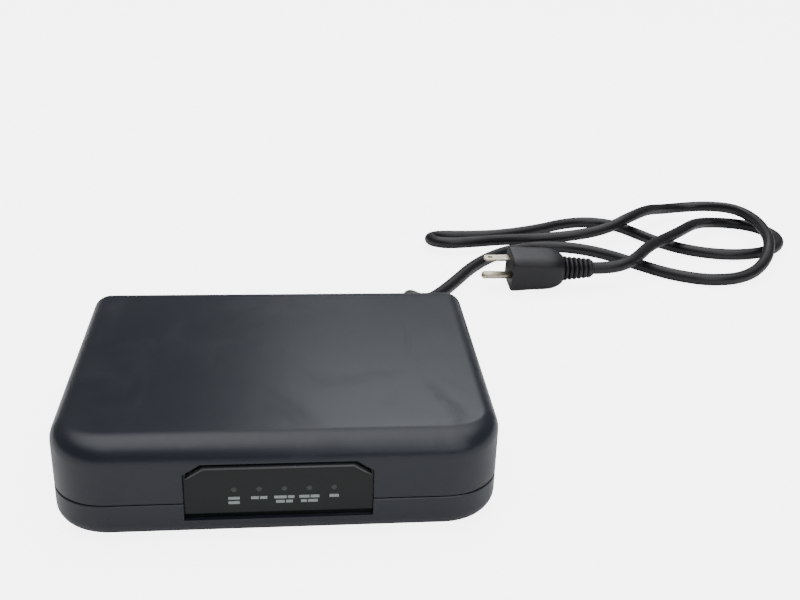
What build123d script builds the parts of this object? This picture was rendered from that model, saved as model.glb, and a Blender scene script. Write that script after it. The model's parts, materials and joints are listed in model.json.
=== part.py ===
from build123d import *
import math
import os

# Cable modem with a captive mains lead, in millimetres.
# +Z is up, the front faces -Y, and +X is to the right of a person facing the front.
# Everything is drawn about the middle of the housing. MIDDLE then moves it all, so that the
# origin is on the surface under the feet, at the middle of the housing with its coaxial socket.

# ---- Driving dimensions -------------------------------------------------------------------
WIDTH = 196.0  # housing, side to side at the back
DEPTH = 160.0  # housing, front to back
TAPER = 5.0  # how far each side comes in towards the front
HEIGHT = 46.0  # from the surface to the top of the housing
WALL = 2.2  # moulded wall
FOOT_HEIGHT = 2.0  # rubber foot, proud of the floor of the housing
SEAM = 22.0  # height of the joint between the two halves
SEAM_GAP = 0.4  # reveal groove along that joint
FRONT_CORNER = 25.0  # plan radius of the two front corners
BACK_CORNER = 9.0  # plan radius of the two back corners
NOSE = 11.0  # radius that rolls the top over to the front
TOP_EDGE = 8.0  # radius round the rest of the top
BOTTOM_EDGE = 7.0  # radius round the underside
FIT = 0.2  # gap between parts that are clipped together

WINDOW_HALF = 38.5  # half the width of the indicator window's opening
WINDOW_LOW = 10.0
WINDOW_HIGH = 35.0
WINDOW_CORNER = (7.0, 4.5)  # sloped upper corners of the opening, across and down
WINDOW_THICK = 1.8
WINDOW_LAP = 1.4  # how far the window reaches behind the edge of its opening

PANEL_HALF = 84.0  # half the width of the opening for the rear panel
PANEL_LOW = 11.5
PANEL_HIGH = 36.5
PANEL_THICK = 2.0
PANEL_LAP = 1.6

BOARD_THICK = 1.6
BOARD_BASE = 10.0  # underside of both boards
BOARD_TOP = BOARD_BASE + BOARD_THICK
MAIN_BOARD = (-86.0, 30.0, -64.0, 66.0)  # left, right, front, back
POWER_BOARD = (37.0, 88.0, -52.0, 56.0)
SCREW = 3.0  # thread of every screw
HEAD = 5.6
STANDOFF = 6.5

INDICATORS = 5
INDICATOR_PITCH = 10.2
INDICATOR_MIDDLE = 2.0
INDICATOR_HEIGHT = 22.6
INDICATOR_Y = -61.0

COAX_X = -66.0
COAX_Z = 23.0
COAX_THREAD = 9.5
COAX_LENGTH = 9.5  # reach behind the housing
COAX_NECK = 9.1
ETHERNET_X = -32.0
ETHERNET_SIZE = (16.0, 20.5, 13.6)
ETHERNET_MOUTH = (11.8, 12.6, 8.2)
USB_X = -4.0
USB_SIZE = (12.0, 16.4, 11.0)
USB_MOUTH = (8.5, 11.0, 7.8)
RESET_X = 17.0
RESET_Z = 17.0
RESET_TRAVEL = 0.8

CORD_DIAMETER = 8.4
BUSHING_X = 75.0
BUSHING_Z = 24.0
BUSHING_REACH = 26.0  # tapered sleeve behind the housing

PLUG_FACE_X = 152.0
PLUG_Y = 194.0
PLUG_Z = 13.6
PLUG_ROLL = 9.0  # degrees; the plug lies slightly rolled towards its ground pin
PLUG_BODY = 37.0
PLUG_RELIEF = 21.0
RELIEF_RINGS = 6
RELIEF_PITCH = 3.4
BLADE_SPACING = 12.7
BLADE = (17.0, 6.35, 1.5)
GROUND_PIN = (20.5, 4.75)
GROUND_OFFSET = 11.9
PIN_SHIFT = 3.4  # the blades sit this far off the middle of the plug, away from the ground pin

FRONT = -DEPTH / 2
BACK = DEPTH / 2
INNER_BACK = BACK - WALL
INNER_FRONT = FRONT + WALL
MIDDLE = -COAX_LENGTH / 2
FLOOR = FOOT_HEIGHT + WALL
ROOF = HEIGHT - WALL
LAP_HALF = WINDOW_HALF + WINDOW_LAP + FIT

CASE_SCREWS = [(-79.0, -36.0), (79.0, -36.0), (-85.0, 66.0), (85.0, 66.0)]
BOARD_SCREWS = [(-70.0, -50.0), (24.0, -40.0), (-78.0, 8.0), (24.0, 34.0)]
POWER_SCREWS = [(42.0, -46.0), (83.0, -14.0), (42.0, 50.0), (83.0, 46.0)]
BOSS = 7.5
BOSS_TOP = 18.0  # where the bosses of the two halves meet
PILLAR = BOSS + 2
HEAD_POCKET = 7.0
HEAD_SEAT = 5.0  # height of the shoulder that a case screw pulls on
HEAD_HIGH = 1.9
RIM = 1.0  # thickness of the locating rim inside the seam
FEET = [(-72.0, -56.0), (72.0, -56.0), (-72.0, 60.0), (72.0, 60.0)]
FOOT_DIAMETER = 13.0
FOOT_RECESS = 0.8
VENT_ROWS = (-22.0, 2.0)
VENT_PITCH = 6.0
VENT_COUNT = 15
VENT_SIZE = (2.4, 18.0)
PANEL_VENTS = 5
PANEL_VENT_X = 36.0
PANEL_VENT_PITCH = 4.4
PANEL_VENT = (1.8, 16.0, 32.0)  # width, lowest and highest edge
RESET_DIAMETER = 3.0
BUSHING_NECK = 12.0
BUSHING_INNER = INNER_BACK - FIT - PANEL_THICK - 2.6
JACKET_INNER_END = 62.0

TUNER = (-82.0, -50.0, 30.0, 60.0)  # shielded box behind the coaxial socket
TUNER_HIGH = 27.0
SHEET = 0.4  # tinned steel sheet of the shields
CHIP = (-26.0, -14.0, 27.0)  # middle and side of the modem chip
CHIP_HIGH = 2.2
PAD_HIGH = 0.6
SINK = 34.0
SINK_HIGH = 12.0
SINK_FINS = 9
FIN = 1.2
MEMORY = [(-58.0, -12.0), (-58.0, 6.0), (6.0, -10.0)]
SIGNAL_CANS = [(-36, 22, 8, 11.5), (-20, 24, 8, 11.5), (16, -30, 8, 11.5), (2, 30, 6.3, 9), (12, 30, 6.3, 9)]
OUTPUT_CANS = [(46.5, -33), (58.5, -33), (52.5, -44)]
HEADER_X = (69.0, 73.0, 77.0)
HEADER_HOLE_Z = BOARD_TOP + 5
WIRE = 1.9
TRANSFORMER = (44.0, 68.0, -22.0, -8.0)
POWER_NOTCH = (70.0, 95.0, -60.0, -28.0)  # corner of the power board that the case pillar needs
FUSE = (36.5, BOARD_TOP + 5, 5.2)  # y, z and diameter


# ---- Small helpers ------------------------------------------------------------------------
def block(x0, x1, y0, y1, z0, z1):
    """A box between two corners."""
    return Pos((x0 + x1) / 2, (y0 + y1) / 2, (z0 + z1) / 2) * Box(x1 - x0, y1 - y0, z1 - z0)


def upright(x, y, z0, z1, diameter):
    """A cylinder that stands on z0."""
    return Pos(x, y, (z0 + z1) / 2) * Cylinder(diameter / 2, z1 - z0)


def along_y(x, z, y0, y1, diameter):
    """A cylinder that runs from front to back."""
    return Pos(x, (y0 + y1) / 2, z) * Rot(90, 0, 0) * Cylinder(diameter / 2, y1 - y0)


def along_x(y, z, x0, x1, diameter):
    """A cylinder that runs from left to right."""
    return Pos((x0 + x1) / 2, y, z) * Rot(0, 90, 0) * Cylinder(diameter / 2, x1 - x0)


def joined(pieces):
    """Several touching solids as one."""
    whole = pieces[0]
    for piece in pieces[1:]:
        whole = whole + piece
    return whole


def group(pieces):
    """Separate solids that share one node."""
    solids = []
    for piece in pieces:
        solids.extend(piece.solids())
    return Compound(children=solids)


def route(points, radii, diameter):
    """A round tube along straight runs joined by tangent arcs."""
    wire = Wire(FilletPolyline(*points, radius=radii).edges())
    section = Plane(origin=wire @ 0, z_dir=wire % 0) * Circle(diameter / 2)
    return sweep(section, path=wire)


def save(shape, node):
    export_step(shape, f"parts/{node}.step")


# ---- Housing ------------------------------------------------------------------------------
def pebble(inset):
    """The housing's outer form, or the same form moved inwards by a wall."""
    low = FOOT_HEIGHT + inset
    high = HEIGHT - inset
    form = Pos(0, 0, low) * extrude(plan(inset), amount=high - low)
    uprights = form.edges().filter_by(Axis.Z)
    form = fillet(uprights.group_by(Axis.Y)[0], FRONT_CORNER - inset)
    form = fillet(form.edges().filter_by(Axis.Z).group_by(Axis.Y)[-1], BACK_CORNER - inset)
    form = fillet(form.faces().sort_by(Axis.Z)[-1].edges(), TOP_EDGE - inset)
    form = fillet(form.faces().sort_by(Axis.Z)[0].edges(), BOTTOM_EDGE - inset)
    return form & nose_profile(inset)


def plan(inset):
    """The outline from above: straight sides that come together towards the front."""
    back = WIDTH / 2 - inset
    front = back - TAPER
    y0 = FRONT + inset
    y1 = BACK - inset
    return Polygon((-front, y0), (front, y0), (back, y1), (-back, y1), align=None)


def nose_profile(inset):
    """A bar across the full width whose top front edge is rolled over."""
    low = FOOT_HEIGHT + inset
    high = HEIGHT - inset
    bar = block(-WIDTH, WIDTH, FRONT + inset, BACK + 10, low - 1, high)
    edge = bar.edges().filter_by(Axis.X).group_by(Axis.Z)[-1].sort_by(Axis.Y)[0]
    return fillet(edge, NOSE - inset)


def window_outline(grow, y0, y1):
    """The window's opening, with sloped upper corners, as a solid to cut or to keep."""
    half = WINDOW_HALF + grow
    low = WINDOW_LOW - grow
    high = WINDOW_HIGH + grow
    across, down = WINDOW_CORNER
    corners = [(-half, low), (half, low), (half, high - down), (half - across, high)]
    corners += [(across - half, high), (-half, high - down)]
    face = Plane.XZ * Polygon(*corners, align=None)
    return Pos(0, y1, 0) * extrude(face, amount=y1 - y0)


def panel_plate(grow, y0, y1):
    return block(-PANEL_HALF - grow, PANEL_HALF + grow, y0, y1, PANEL_LOW - grow, PANEL_HIGH + grow)


def half_band(low, high):
    return block(-WIDTH, WIDTH, -DEPTH, DEPTH, low, high)


def top_cover():
    """Upper half of the housing, with the screw bosses that hang from its roof."""
    shell = (pebble(0) - pebble(WALL)) & half_band(SEAM + SEAM_GAP / 2, HEIGHT + 5)
    for x, y in CASE_SCREWS:
        boss = upright(x, y, BOSS_TOP, ROOF + 1, BOSS) & pebble(WALL - 0.5)
        shell = shell + boss
        shell = shell - upright(x, y, BOSS_TOP - 1, ROOF - 4, SCREW + 0.1)
    shell = shell - window_outline(0, FRONT - 5, INNER_FRONT + 1)
    return shell - panel_plate(0, INNER_BACK - 1, BACK + 5)


def bottom_case():
    """Lower half: floor, vents, board standoffs, screw pillars and the locating rim."""
    shell = (pebble(0) - pebble(WALL)) & half_band(0, SEAM - SEAM_GAP / 2)
    rim = (pebble(WALL + FIT) - pebble(WALL + FIT + RIM)) & half_band(SEAM - 4, SEAM + 2)
    tie = (pebble(WALL - 0.5) - pebble(WALL + FIT + RIM)) & half_band(SEAM - 4, SEAM - 1.5)
    notch = block(-LAP_HALF, LAP_HALF, FRONT, INNER_FRONT + WINDOW_THICK + 2 * FIT, FLOOR, SEAM + 5)
    slot = panel_plate(PANEL_LAP + FIT, INNER_BACK - PANEL_THICK - 2 * FIT, BACK)
    shell = shell + (rim + tie - notch - slot)
    for x, y in CASE_SCREWS:
        pillar = upright(x, y, FOOT_HEIGHT + 1, BOSS_TOP - FIT, PILLAR) & pebble(1.0)
        shell = shell + pillar
        shell = shell - upright(x, y, FOOT_HEIGHT - 1, HEAD_SEAT, HEAD_POCKET)
        shell = shell - upright(x, y, FOOT_HEIGHT, BOSS_TOP + 1, SCREW + 0.4)
    for x, y in BOARD_SCREWS + POWER_SCREWS:
        shell = shell + upright(x, y, FLOOR - 1, BOARD_BASE, STANDOFF)
        shell = shell - upright(x, y, FLOOR, BOARD_BASE + 1, SCREW + 0.05)
    for x, y in FEET:
        shell = shell - upright(x, y, 0, FOOT_HEIGHT + FOOT_RECESS, FOOT_DIAMETER + 2 * FIT)
    shell = shell - group(vent_slots())
    shell = shell - window_outline(0, FRONT - 5, INNER_FRONT + 2)
    return shell - panel_plate(0, INNER_BACK - 2, BACK + 5)


def vent_slots():
    """Two rows of slots in the floor, with rounded ends."""
    slots = []
    for row in VENT_ROWS:
        for step in range(VENT_COUNT):
            x = (step - (VENT_COUNT - 1) / 2) * VENT_PITCH
            face = SlotOverall(VENT_SIZE[1], VENT_SIZE[0], rotation=90)
            slots.append(Pos(x, row, FOOT_HEIGHT - 1) * extrude(face, amount=WALL + 2))
    return slots


def front_window():
    """Smoked window behind the opening in the front wall."""
    y1 = INNER_FRONT + FIT + WINDOW_THICK
    return window_outline(WINDOW_LAP, INNER_FRONT + FIT, y1)


def rear_panel():
    """Flat plate that carries the sockets, clipped behind the opening in the back wall."""
    y1 = INNER_BACK - FIT
    y0 = y1 - PANEL_THICK
    plate = panel_plate(PANEL_LAP, y0, y1)
    plate = plate - along_y(COAX_X, COAX_Z, y0 - 1, y1 + 1, COAX_THREAD + 2 * FIT)
    plate = plate - socket_hole(ETHERNET_X, ETHERNET_SIZE, y0, y1)
    plate = plate - socket_hole(USB_X, USB_SIZE, y0, y1)
    plate = plate - along_y(RESET_X, RESET_Z, y0 - 1, y1 + 1, RESET_DIAMETER + 2 * FIT)
    plate = plate - along_y(BUSHING_X, BUSHING_Z, y0 - 1, y1 + 1, BUSHING_NECK)
    wide, low, high = PANEL_VENT
    slots = []
    for step in range(PANEL_VENTS):
        x = PANEL_VENT_X + step * PANEL_VENT_PITCH
        slots.append(block(x, x + wide, y0 - 1, y1 + 1, low, high))
    return plate - group(slots)


def socket_hole(x, size, y0, y1):
    """Clearance hole in the rear panel for a socket that stands on the main board."""
    half = size[0] / 2 + FIT
    return block(x - half, x + half, y0 - 1, y1 + 1, BOARD_TOP - FIT, BOARD_TOP + size[2] + FIT)


def rubber_feet():
    feet = []
    for x, y in FEET:
        foot = upright(x, y, 0, FOOT_HEIGHT + FOOT_RECESS, FOOT_DIAMETER)
        rim = foot.edges().filter_by(GeomType.CIRCLE).sort_by(Axis.Z)[0]
        feet.append(fillet(rim, 0.7))
    return group(feet)


def pan_screw(x, y, seat, length, up=True):
    """Pan-head screw whose shank goes up from its seat, or down from it."""
    sign = 1 if up else -1
    a = sorted((seat, seat + sign * length))
    b = sorted((seat, seat - sign * HEAD_HIGH))
    shank = upright(x, y, a[0], a[1], SCREW)
    head = upright(x, y, b[0], b[1], HEAD)
    face = head.faces().sort_by(Axis.Z)[0 if up else -1]
    head = fillet(face.edges(), 0.7)
    tip = seat - sign * HEAD_HIGH
    c = sorted((tip, tip + sign * 1.1))
    slot = block(x - 1.5, x + 1.5, y - 0.35, y + 0.35, c[0], c[1])
    cross = block(x - 0.35, x + 0.35, y - 1.5, y + 1.5, c[0], c[1])
    return (shank + head) - slot - cross


def case_screws():
    return group([pan_screw(x, y, HEAD_SEAT, 26) for x, y in CASE_SCREWS])


def board_screws():
    places = BOARD_SCREWS + POWER_SCREWS
    return group([pan_screw(x, y, BOARD_TOP, 5.5, up=False) for x, y in places])


# ---- Main board and what stands on it -----------------------------------------------------
def board(outline, screws, corner=2.0):
    x0, x1, y0, y1 = outline
    plate = block(x0, x1, y0, y1, BOARD_BASE, BOARD_TOP)
    plate = fillet(plate.edges().filter_by(Axis.Z), corner)
    for x, y in screws:
        plate = plate - upright(x, y, BOARD_BASE - 1, BOARD_TOP + 1, SCREW + 0.3)
    return plate


def main_board():
    plate = board(MAIN_BOARD, BOARD_SCREWS)
    for x, y in CASE_SCREWS:
        plate = plate - upright(x, y, BOARD_BASE - 1, BOARD_TOP + 1, PILLAR + 1)
    x0, x1, y0, y1 = MAIN_BOARD
    corner = block(x0 - 1, x0 + 16, y0 - 1, y0 + 14, BOARD_BASE - 1, BOARD_TOP + 1)
    return plate - corner


def tuner_shield_base():
    x0, x1, y0, y1 = TUNER
    frame = block(x0, x1, y0, y1, BOARD_TOP, TUNER_HIGH)
    frame = frame - block(x0 + SHEET, x1 - SHEET, y0 + SHEET, y1 - SHEET, BOARD_TOP - 1, 40)
    rib = block(x0 + SHEET, x1 - SHEET, 44.8, 45.2, BOARD_TOP, TUNER_HIGH)
    hole = along_y(COAX_X, COAX_Z, y1 - 1, y1 + 1, 6.0)
    return (frame + rib) - hole


def tuner_shield_lid():
    x0, x1, y0, y1 = TUNER
    gap = 0.1
    o = gap + SHEET
    lid = block(x0 - o, x1 + o, y0 - o, y1 + o, TUNER_HIGH - 4, TUNER_HIGH + gap + SHEET)
    lid = lid - block(x0 - gap, x1 + gap, y0 - gap, y1 + gap, 0, TUNER_HIGH + gap)
    hole = block(COAX_X - 7.2, COAX_X + 7.2, y1 - 1, y1 + 2, 0, TUNER_HIGH + gap)
    dimples = [upright(x0 + 6 + 5 * i, y0 + 8, TUNER_HIGH, TUNER_HIGH + 2, 2.0) for i in range(4)]
    return (lid - hole) - group(dimples)


def coax_socket():
    """Threaded barrel with a hexagon behind the panel; the bore takes the plug's pin."""
    tip = BACK + COAX_LENGTH
    barrel = along_y(COAX_X, COAX_Z, INNER_BACK - 8, INNER_BACK + 1, COAX_NECK)
    barrel = barrel + along_y(COAX_X, COAX_Z, INNER_BACK + 0.4, tip, COAX_THREAD)
    rings = []
    for step in range(6):
        y = BACK + 1.4 + step * 1.25
        ring = along_y(COAX_X, COAX_Z, y, y + 0.5, COAX_THREAD + 1)
        rings.append(ring - along_y(COAX_X, COAX_Z, y - 1, y + 2, COAX_THREAD - 0.7))
    hexagon = extrude(RegularPolygon(6.9, 6), amount=3.2)
    nut = Pos(COAX_X, INNER_BACK - FIT - PANEL_THICK, COAX_Z) * Rot(90, 0, 0) * hexagon
    body = block(COAX_X - 6, COAX_X + 6, TUNER[3] + 4 * FIT, INNER_BACK - 6, COAX_Z - 6, COAX_Z + 6)
    socket = joined([barrel, nut, body]) - group(rings)
    return socket - along_y(COAX_X, COAX_Z, TUNER[3] - 1, tip + 1, 6.4)


def coax_insulator():
    tip = BACK + COAX_LENGTH - 0.6
    sleeve = along_y(COAX_X, COAX_Z, TUNER[3] + FIT, tip, 6.2)
    return sleeve - along_y(COAX_X, COAX_Z, TUNER[3] - 1, tip + 1, 1.8)


def coax_contact():
    y1 = BACK + COAX_LENGTH - 2.0
    contact = along_y(COAX_X, COAX_Z, TUNER[3] - 4, y1, 1.7)
    return contact - along_y(COAX_X, COAX_Z, y1 - 9, y1 + 1, 1.1)


def ethernet_socket():
    wide, deep, high = ETHERNET_SIZE
    y1 = BACK - 1.0
    x0 = ETHERNET_X - wide / 2
    shell = block(x0, x0 + wide, y1 - deep, y1, BOARD_TOP, BOARD_TOP + high)
    mw, md, mh = ETHERNET_MOUTH
    z0 = BOARD_TOP + 3.2
    mouth = block(ETHERNET_X - mw / 2, ETHERNET_X + mw / 2, y1 - md, y1 + 1, z0, z0 + mh)
    latch = block(ETHERNET_X - 3.2, ETHERNET_X + 3.2, y1 - md + 4, y1 + 1, z0 - 1.6, z0 + 1)
    tab = block(ETHERNET_X - 1.7, ETHERNET_X + 1.7, y1 - md + 4, y1 + 1, z0 - 2.6, z0)
    return shell - mouth - latch - tab


def ethernet_contacts():
    """Eight sprung wires that hang from the roof of the socket's mouth."""
    wires = []
    y1 = BACK - 1.0
    top = BOARD_TOP + 3.2 + ETHERNET_MOUTH[2]
    for step in range(8):
        x = ETHERNET_X + (step - 3.5) * 1.02
        wire = block(x - 0.2, x + 0.2, y1 - 11.9, y1 - 11.4, top - 2.6, top)
        slope = Plane.YZ.offset(x - 0.2) * make_face(
            Polyline(
                (y1 - 11.5, top - 2.6),
                (y1 - 11.5, top - 2.1),
                (y1 - 3.0, top - 0.1),
                (y1 - 3.0, top - 0.5),
                close=True,
            )
        )
        wires.append(wire + extrude(slope, amount=0.4))
    return group(wires)


def usb_socket():
    wide, deep, high = USB_SIZE
    y1 = BACK - 1.0
    shell = block(USB_X - wide / 2, USB_X + wide / 2, y1 - deep, y1, BOARD_TOP, BOARD_TOP + high)
    mw, md, mh = USB_MOUTH
    z0 = BOARD_TOP + (high - mh) / 2
    mouth = block(USB_X - mw / 2, USB_X + mw / 2, y1 - md, y1 + 1, z0, z0 + mh)
    sloped = mouth.edges().filter_by(Axis.Y).group_by(Axis.Z)[-1]
    return shell - chamfer(sloped, 1.9)


def usb_tongue():
    """Plastic tongue in the square socket, with its four contacts' rib."""
    y1 = BACK - 1.0
    back = y1 - USB_MOUTH[1]
    z = BOARD_TOP + USB_SIZE[2] / 2
    return block(USB_X - 2.8, USB_X + 2.8, back, y1 - 2.0, z - 1.6, z + 1.6)


def reset_switch():
    """Tactile switch that faces the rear panel."""
    body = block(RESET_X - 3, RESET_X + 3, 62.0, 66.0, BOARD_TOP, RESET_Z + 3)
    return body + along_y(RESET_X, RESET_Z, 65.9, 67.0, 2.4)


def reset_button():
    """Plunger behind the rear panel's small hole, pressed with a pen's tip."""
    front = INNER_BACK - FIT - PANEL_THICK
    stem = along_y(RESET_X, RESET_Z, front - 1.4, INNER_BACK - FIT - 0.6, RESET_DIAMETER)
    flange = along_y(RESET_X, RESET_Z, front - 2.8, front - 1.2, RESET_DIAMETER + 2.4)
    neck = along_y(RESET_X, RESET_Z, 68.0 + 0.1, front - 2.6, 2.4)
    return joined([stem, flange, neck])


def modem_chip():
    x, y, side = CHIP
    half = side / 2
    package = block(x - half, x + half, y - half, y + half, BOARD_TOP, BOARD_TOP + CHIP_HIGH)
    return chamfer(package.edges().filter_by(Axis.Z), 1.0)


def thermal_pad():
    x, y, side = CHIP
    half = side / 2 - 3
    z0 = BOARD_TOP + CHIP_HIGH
    return block(x - half, x + half, y - half, y + half, z0, z0 + PAD_HIGH)


def heat_sink():
    x, y, _ = CHIP
    z0 = BOARD_TOP + CHIP_HIGH + PAD_HIGH
    half = SINK / 2
    sink = block(x - half, x + half, y - half, y + half, z0, z0 + 2)
    for step in range(SINK_FINS):
        fx = x - half + step * (SINK - FIN) / (SINK_FINS - 1)
        sink = sink + block(fx, fx + FIN, y - half, y + half, z0 + 1.5, z0 + SINK_HIGH)
    return sink


def memory_chips():
    return group([block(x - 6, x + 6, y - 8, y + 8, BOARD_TOP, BOARD_TOP + 1.2) for x, y in MEMORY])


def chip_legs():
    """Rows of leads along both sides of the memory chips."""
    legs = []
    for x, y in MEMORY:
        for side in (-1, 1):
            for step in range(10):
                y0 = y - 6.6 + step * 1.4
                a = sorted((x + side * 6.0, x + side * 7.2))
                legs.append(block(a[0], a[1], y0, y0 + 0.5, BOARD_TOP, BOARD_TOP + 0.5))
    return group(legs)


def clock_crystal():
    can = block(-4, 7, 12, 16.6, BOARD_TOP, BOARD_TOP + 3.6)
    return fillet(can.edges().filter_by(Axis.Z), 2.2)


def board_capacitors():
    cans = []
    for x, y, d, h in SIGNAL_CANS:
        can = upright(x, y, BOARD_TOP, BOARD_TOP + h, d)
        cans.append(fillet(can.faces().sort_by(Axis.Z)[-1].edges(), 0.6))
    return group(cans)


def line_transformer():
    """Pulse transformer next to the network socket."""
    body = block(-40, -24, 32, 48, BOARD_TOP, BOARD_TOP + 6)
    return chamfer(body.edges().group_by(Axis.Z)[-1], 0.6)


def indicator_places():
    middle = (INDICATORS - 1) / 2
    return [INDICATOR_MIDDLE + (step - middle) * INDICATOR_PITCH for step in range(INDICATORS)]


def indicator_leds():
    leds = []
    for x in indicator_places():
        y0 = INDICATOR_Y - 1.4
        body = block(x - 1.6, x + 1.6, y0, y0 + 2.8, BOARD_TOP, BOARD_TOP + 1.9)
        leds.append(fillet(body.edges().group_by(Axis.Z)[-1], 0.4))
    return group(leds)


def light_guide():
    """Five clear fingers on one bar, each from above its LED forward to the window."""
    z0 = BOARD_TOP + 2.3
    back = INDICATOR_Y + 1.6
    tip = INNER_FRONT + 2 * FIT + WINDOW_THICK
    arms = []
    for x in indicator_places():
        leg = block(x - 1.5, x + 1.5, back - 3.2, back, z0, INDICATOR_HEIGHT + 1.5)
        arm = block(x - 1.5, x + 1.5, tip, back, INDICATOR_HEIGHT - 1.5, INDICATOR_HEIGHT + 1.5)
        arms.append(leg + arm)
    left = indicator_places()[0] - 3
    right = indicator_places()[-1] + 3
    y0 = back - 2.4
    y1 = back - 0.6
    bar = block(left, right, y0, y1, INDICATOR_HEIGHT - 4, INDICATOR_HEIGHT - 1)
    posts = [block(x - 1, x + 1, y0, y1, BOARD_TOP, INDICATOR_HEIGHT - 2) for x in (left, right)]
    return joined([bar] + arms + posts)


# ---- Power board and what stands on it ----------------------------------------------------
def power_board():
    plate = board(POWER_BOARD, POWER_SCREWS)
    return plate - block(*POWER_NOTCH, BOARD_BASE - 1, BOARD_TOP + 1)


def insulating_sheet():
    x0, x1, y0, y1 = POWER_BOARD
    z0 = FLOOR + 1.6
    sheet = block(x0, x1 - 1, y0, y1, z0, z0 + 0.5) - block(*POWER_NOTCH, 0, HEIGHT)
    for x, y in POWER_SCREWS:
        sheet = sheet - upright(x, y, 0, HEIGHT, STANDOFF + 0.6)
    for x, y in CASE_SCREWS:
        sheet = sheet - upright(x, y, 0, HEIGHT, PILLAR + 1)
    return sheet


def mains_header():
    body = block(66, 80, 44.0, 51.0, BOARD_TOP, BOARD_TOP + 9)
    for x in HEADER_X:
        body = body - along_y(x, HEADER_HOLE_Z, 47.0, 52.0, WIRE + 0.3)
    return body


def mains_wires():
    """Three insulated wires from the end of the cord's jacket to the header."""
    wires = []
    start = JACKET_INNER_END
    for step, x in enumerate(HEADER_X):
        a = BUSHING_X + (step - 1) * 2.3
        points = [(a, start, BUSHING_Z), (a, start - 4.5, BUSHING_Z)]
        points += [(x, 52.0, HEADER_HOLE_Z), (x, 47.2, HEADER_HOLE_Z)]
        wires.append(route(points, [1.6, 1.6], WIRE))
    return group(wires)


def cord_inner_end():
    """The jacket's end inside the housing, where the three wires come out."""
    return along_y(BUSHING_X, BUSHING_Z, JACKET_INNER_END, BUSHING_INNER, CORD_DIAMETER)


def cord_bushing():
    """Moulded strain relief: two flanges that grip the panel and a ribbed, tapered sleeve."""
    y1 = INNER_BACK - FIT
    inner = along_y(BUSHING_X, BUSHING_Z, BUSHING_INNER, y1 - PANEL_THICK, 15.5)
    neck = along_y(BUSHING_X, BUSHING_Z, y1 - PANEL_THICK - 0.1, y1 + 0.1, BUSHING_NECK - FIT)
    outer = along_y(BUSHING_X, BUSHING_Z, y1, y1 + 3.4, 16.5)
    end = BACK + BUSHING_REACH
    cone = Pos(BUSHING_X, (y1 + 3 + end) / 2, BUSHING_Z) * Rot(-90, 0, 0) * Cone(6.9, 5.2, end - y1 - 3)
    sleeve = joined([inner, neck, outer, cone])
    cuts = []
    for step in range(5):
        y = y1 + 6.4 + step * 3.6
        for side in (-1, 1):
            x = sorted((BUSHING_X + side * 1.6, BUSHING_X + side * 9))
            cuts.append(block(x[0], x[1], y, y + 1.6, BUSHING_Z + 2.2, BUSHING_Z + 9))
            cuts.append(block(x[0], x[1], y, y + 1.6, BUSHING_Z - 9, BUSHING_Z - 2.2))
    core = along_y(BUSHING_X, BUSHING_Z, y1 + 3, end, 9.6)
    return (sleeve - group(cuts)) + core


def fuse_tube():
    y, z, diameter = FUSE
    return along_x(y, z, 60, 80, diameter)


def fuse_clips():
    y, z, diameter = FUSE
    bore = along_x(y, z, 55, 85, diameter)
    clips = [block(x, x + 5, y - 3.3, y + 3.3, BOARD_TOP, BOARD_TOP + 6) for x in (60.5, 74.5)]
    return group([clip - bore for clip in clips])


def mains_choke_core():
    core = block(60, 80, 14, 28, BOARD_TOP + 1, BOARD_TOP + 17)
    return core - block(64.5, 75.5, 10, 30, BOARD_TOP + 5.5, BOARD_TOP + 12.5)


def mains_choke_windings():
    coils = []
    for z in (BOARD_TOP + 3.25, BOARD_TOP + 14.75):
        outer = block(65, 75, 12.8, 29.2, z - 3.2, z + 3.2)
        inner = block(60, 80, 14, 28, z - 2.25, z + 2.25)
        coils.append((outer - inner))
    return group(coils)


def bulk_capacitor():
    can = upright(50, 26, BOARD_TOP, BOARD_TOP + 26, 17)
    return fillet(can.faces().sort_by(Axis.Z)[-1].edges(), 1.2)


def rectifier_bridge():
    body = block(64, 80, 0, 5, BOARD_TOP + 2, BOARD_TOP + 14)
    legs = [block(65.5 + 4 * i, 66.3 + 4 * i, 2.1, 2.9, BOARD_TOP, BOARD_TOP + 2.1) for i in range(4)]
    return joined([body] + legs)


def transformer_core():
    x0, x1, y0, y1 = TRANSFORMER
    z0 = BOARD_TOP + 3
    outer = block(x0, x1, y0, y1, z0, z0 + 17)
    left = block(x0 + 4, x0 + 8.5, y0 - 1, y1 + 1, z0 + 3.5, z0 + 13.5)
    right = block(x1 - 8.5, x1 - 4, y0 - 1, y1 + 1, z0 + 3.5, z0 + 13.5)
    return outer - left - right


def transformer_winding():
    x0, x1, y0, y1 = TRANSFORMER
    z0 = BOARD_TOP + 3
    outer = block(x0 + 4.2, x1 - 4.2, y0 - 3.5, y1 + 3.5, z0 + 3.7, z0 + 13.3)
    return outer - block(x0 + 8.5, x1 - 8.5, y0, y1, z0, z0 + 20)


def transformer_bobbin():
    x0, x1, y0, y1 = TRANSFORMER
    feet = [block(x0 + 1, x1 - 1, y, y + 3.4, BOARD_TOP, BOARD_TOP + 3) for y in (y0, y1 - 3.4)]
    return group(feet)


def power_transistor():
    return block(52, 62, 4.2, 8.6, BOARD_TOP + 4, BOARD_TOP + 19)


def transistor_heat_sink():
    plate = block(46, 63, 2.2, 4.2, BOARD_TOP, BOARD_TOP + 25)
    for step in range(4):
        x = 46 + step * 5.0
        plate = plate + block(x, x + 1.6, -1.4, 2.3, BOARD_TOP, BOARD_TOP + 25)
    return plate


def output_capacitors():
    cans = []
    for x, y in OUTPUT_CANS:
        can = upright(x, y, BOARD_TOP, BOARD_TOP + 16, 10)
        cans.append(fillet(can.faces().sort_by(Axis.Z)[-1].edges(), 0.8))
    return group(cans)


def output_header():
    return block(38, 43, -6, 8, BOARD_TOP, BOARD_TOP + 8)


def supply_header():
    return block(22, 27, -6, 8, BOARD_TOP, BOARD_TOP + 8)


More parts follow.
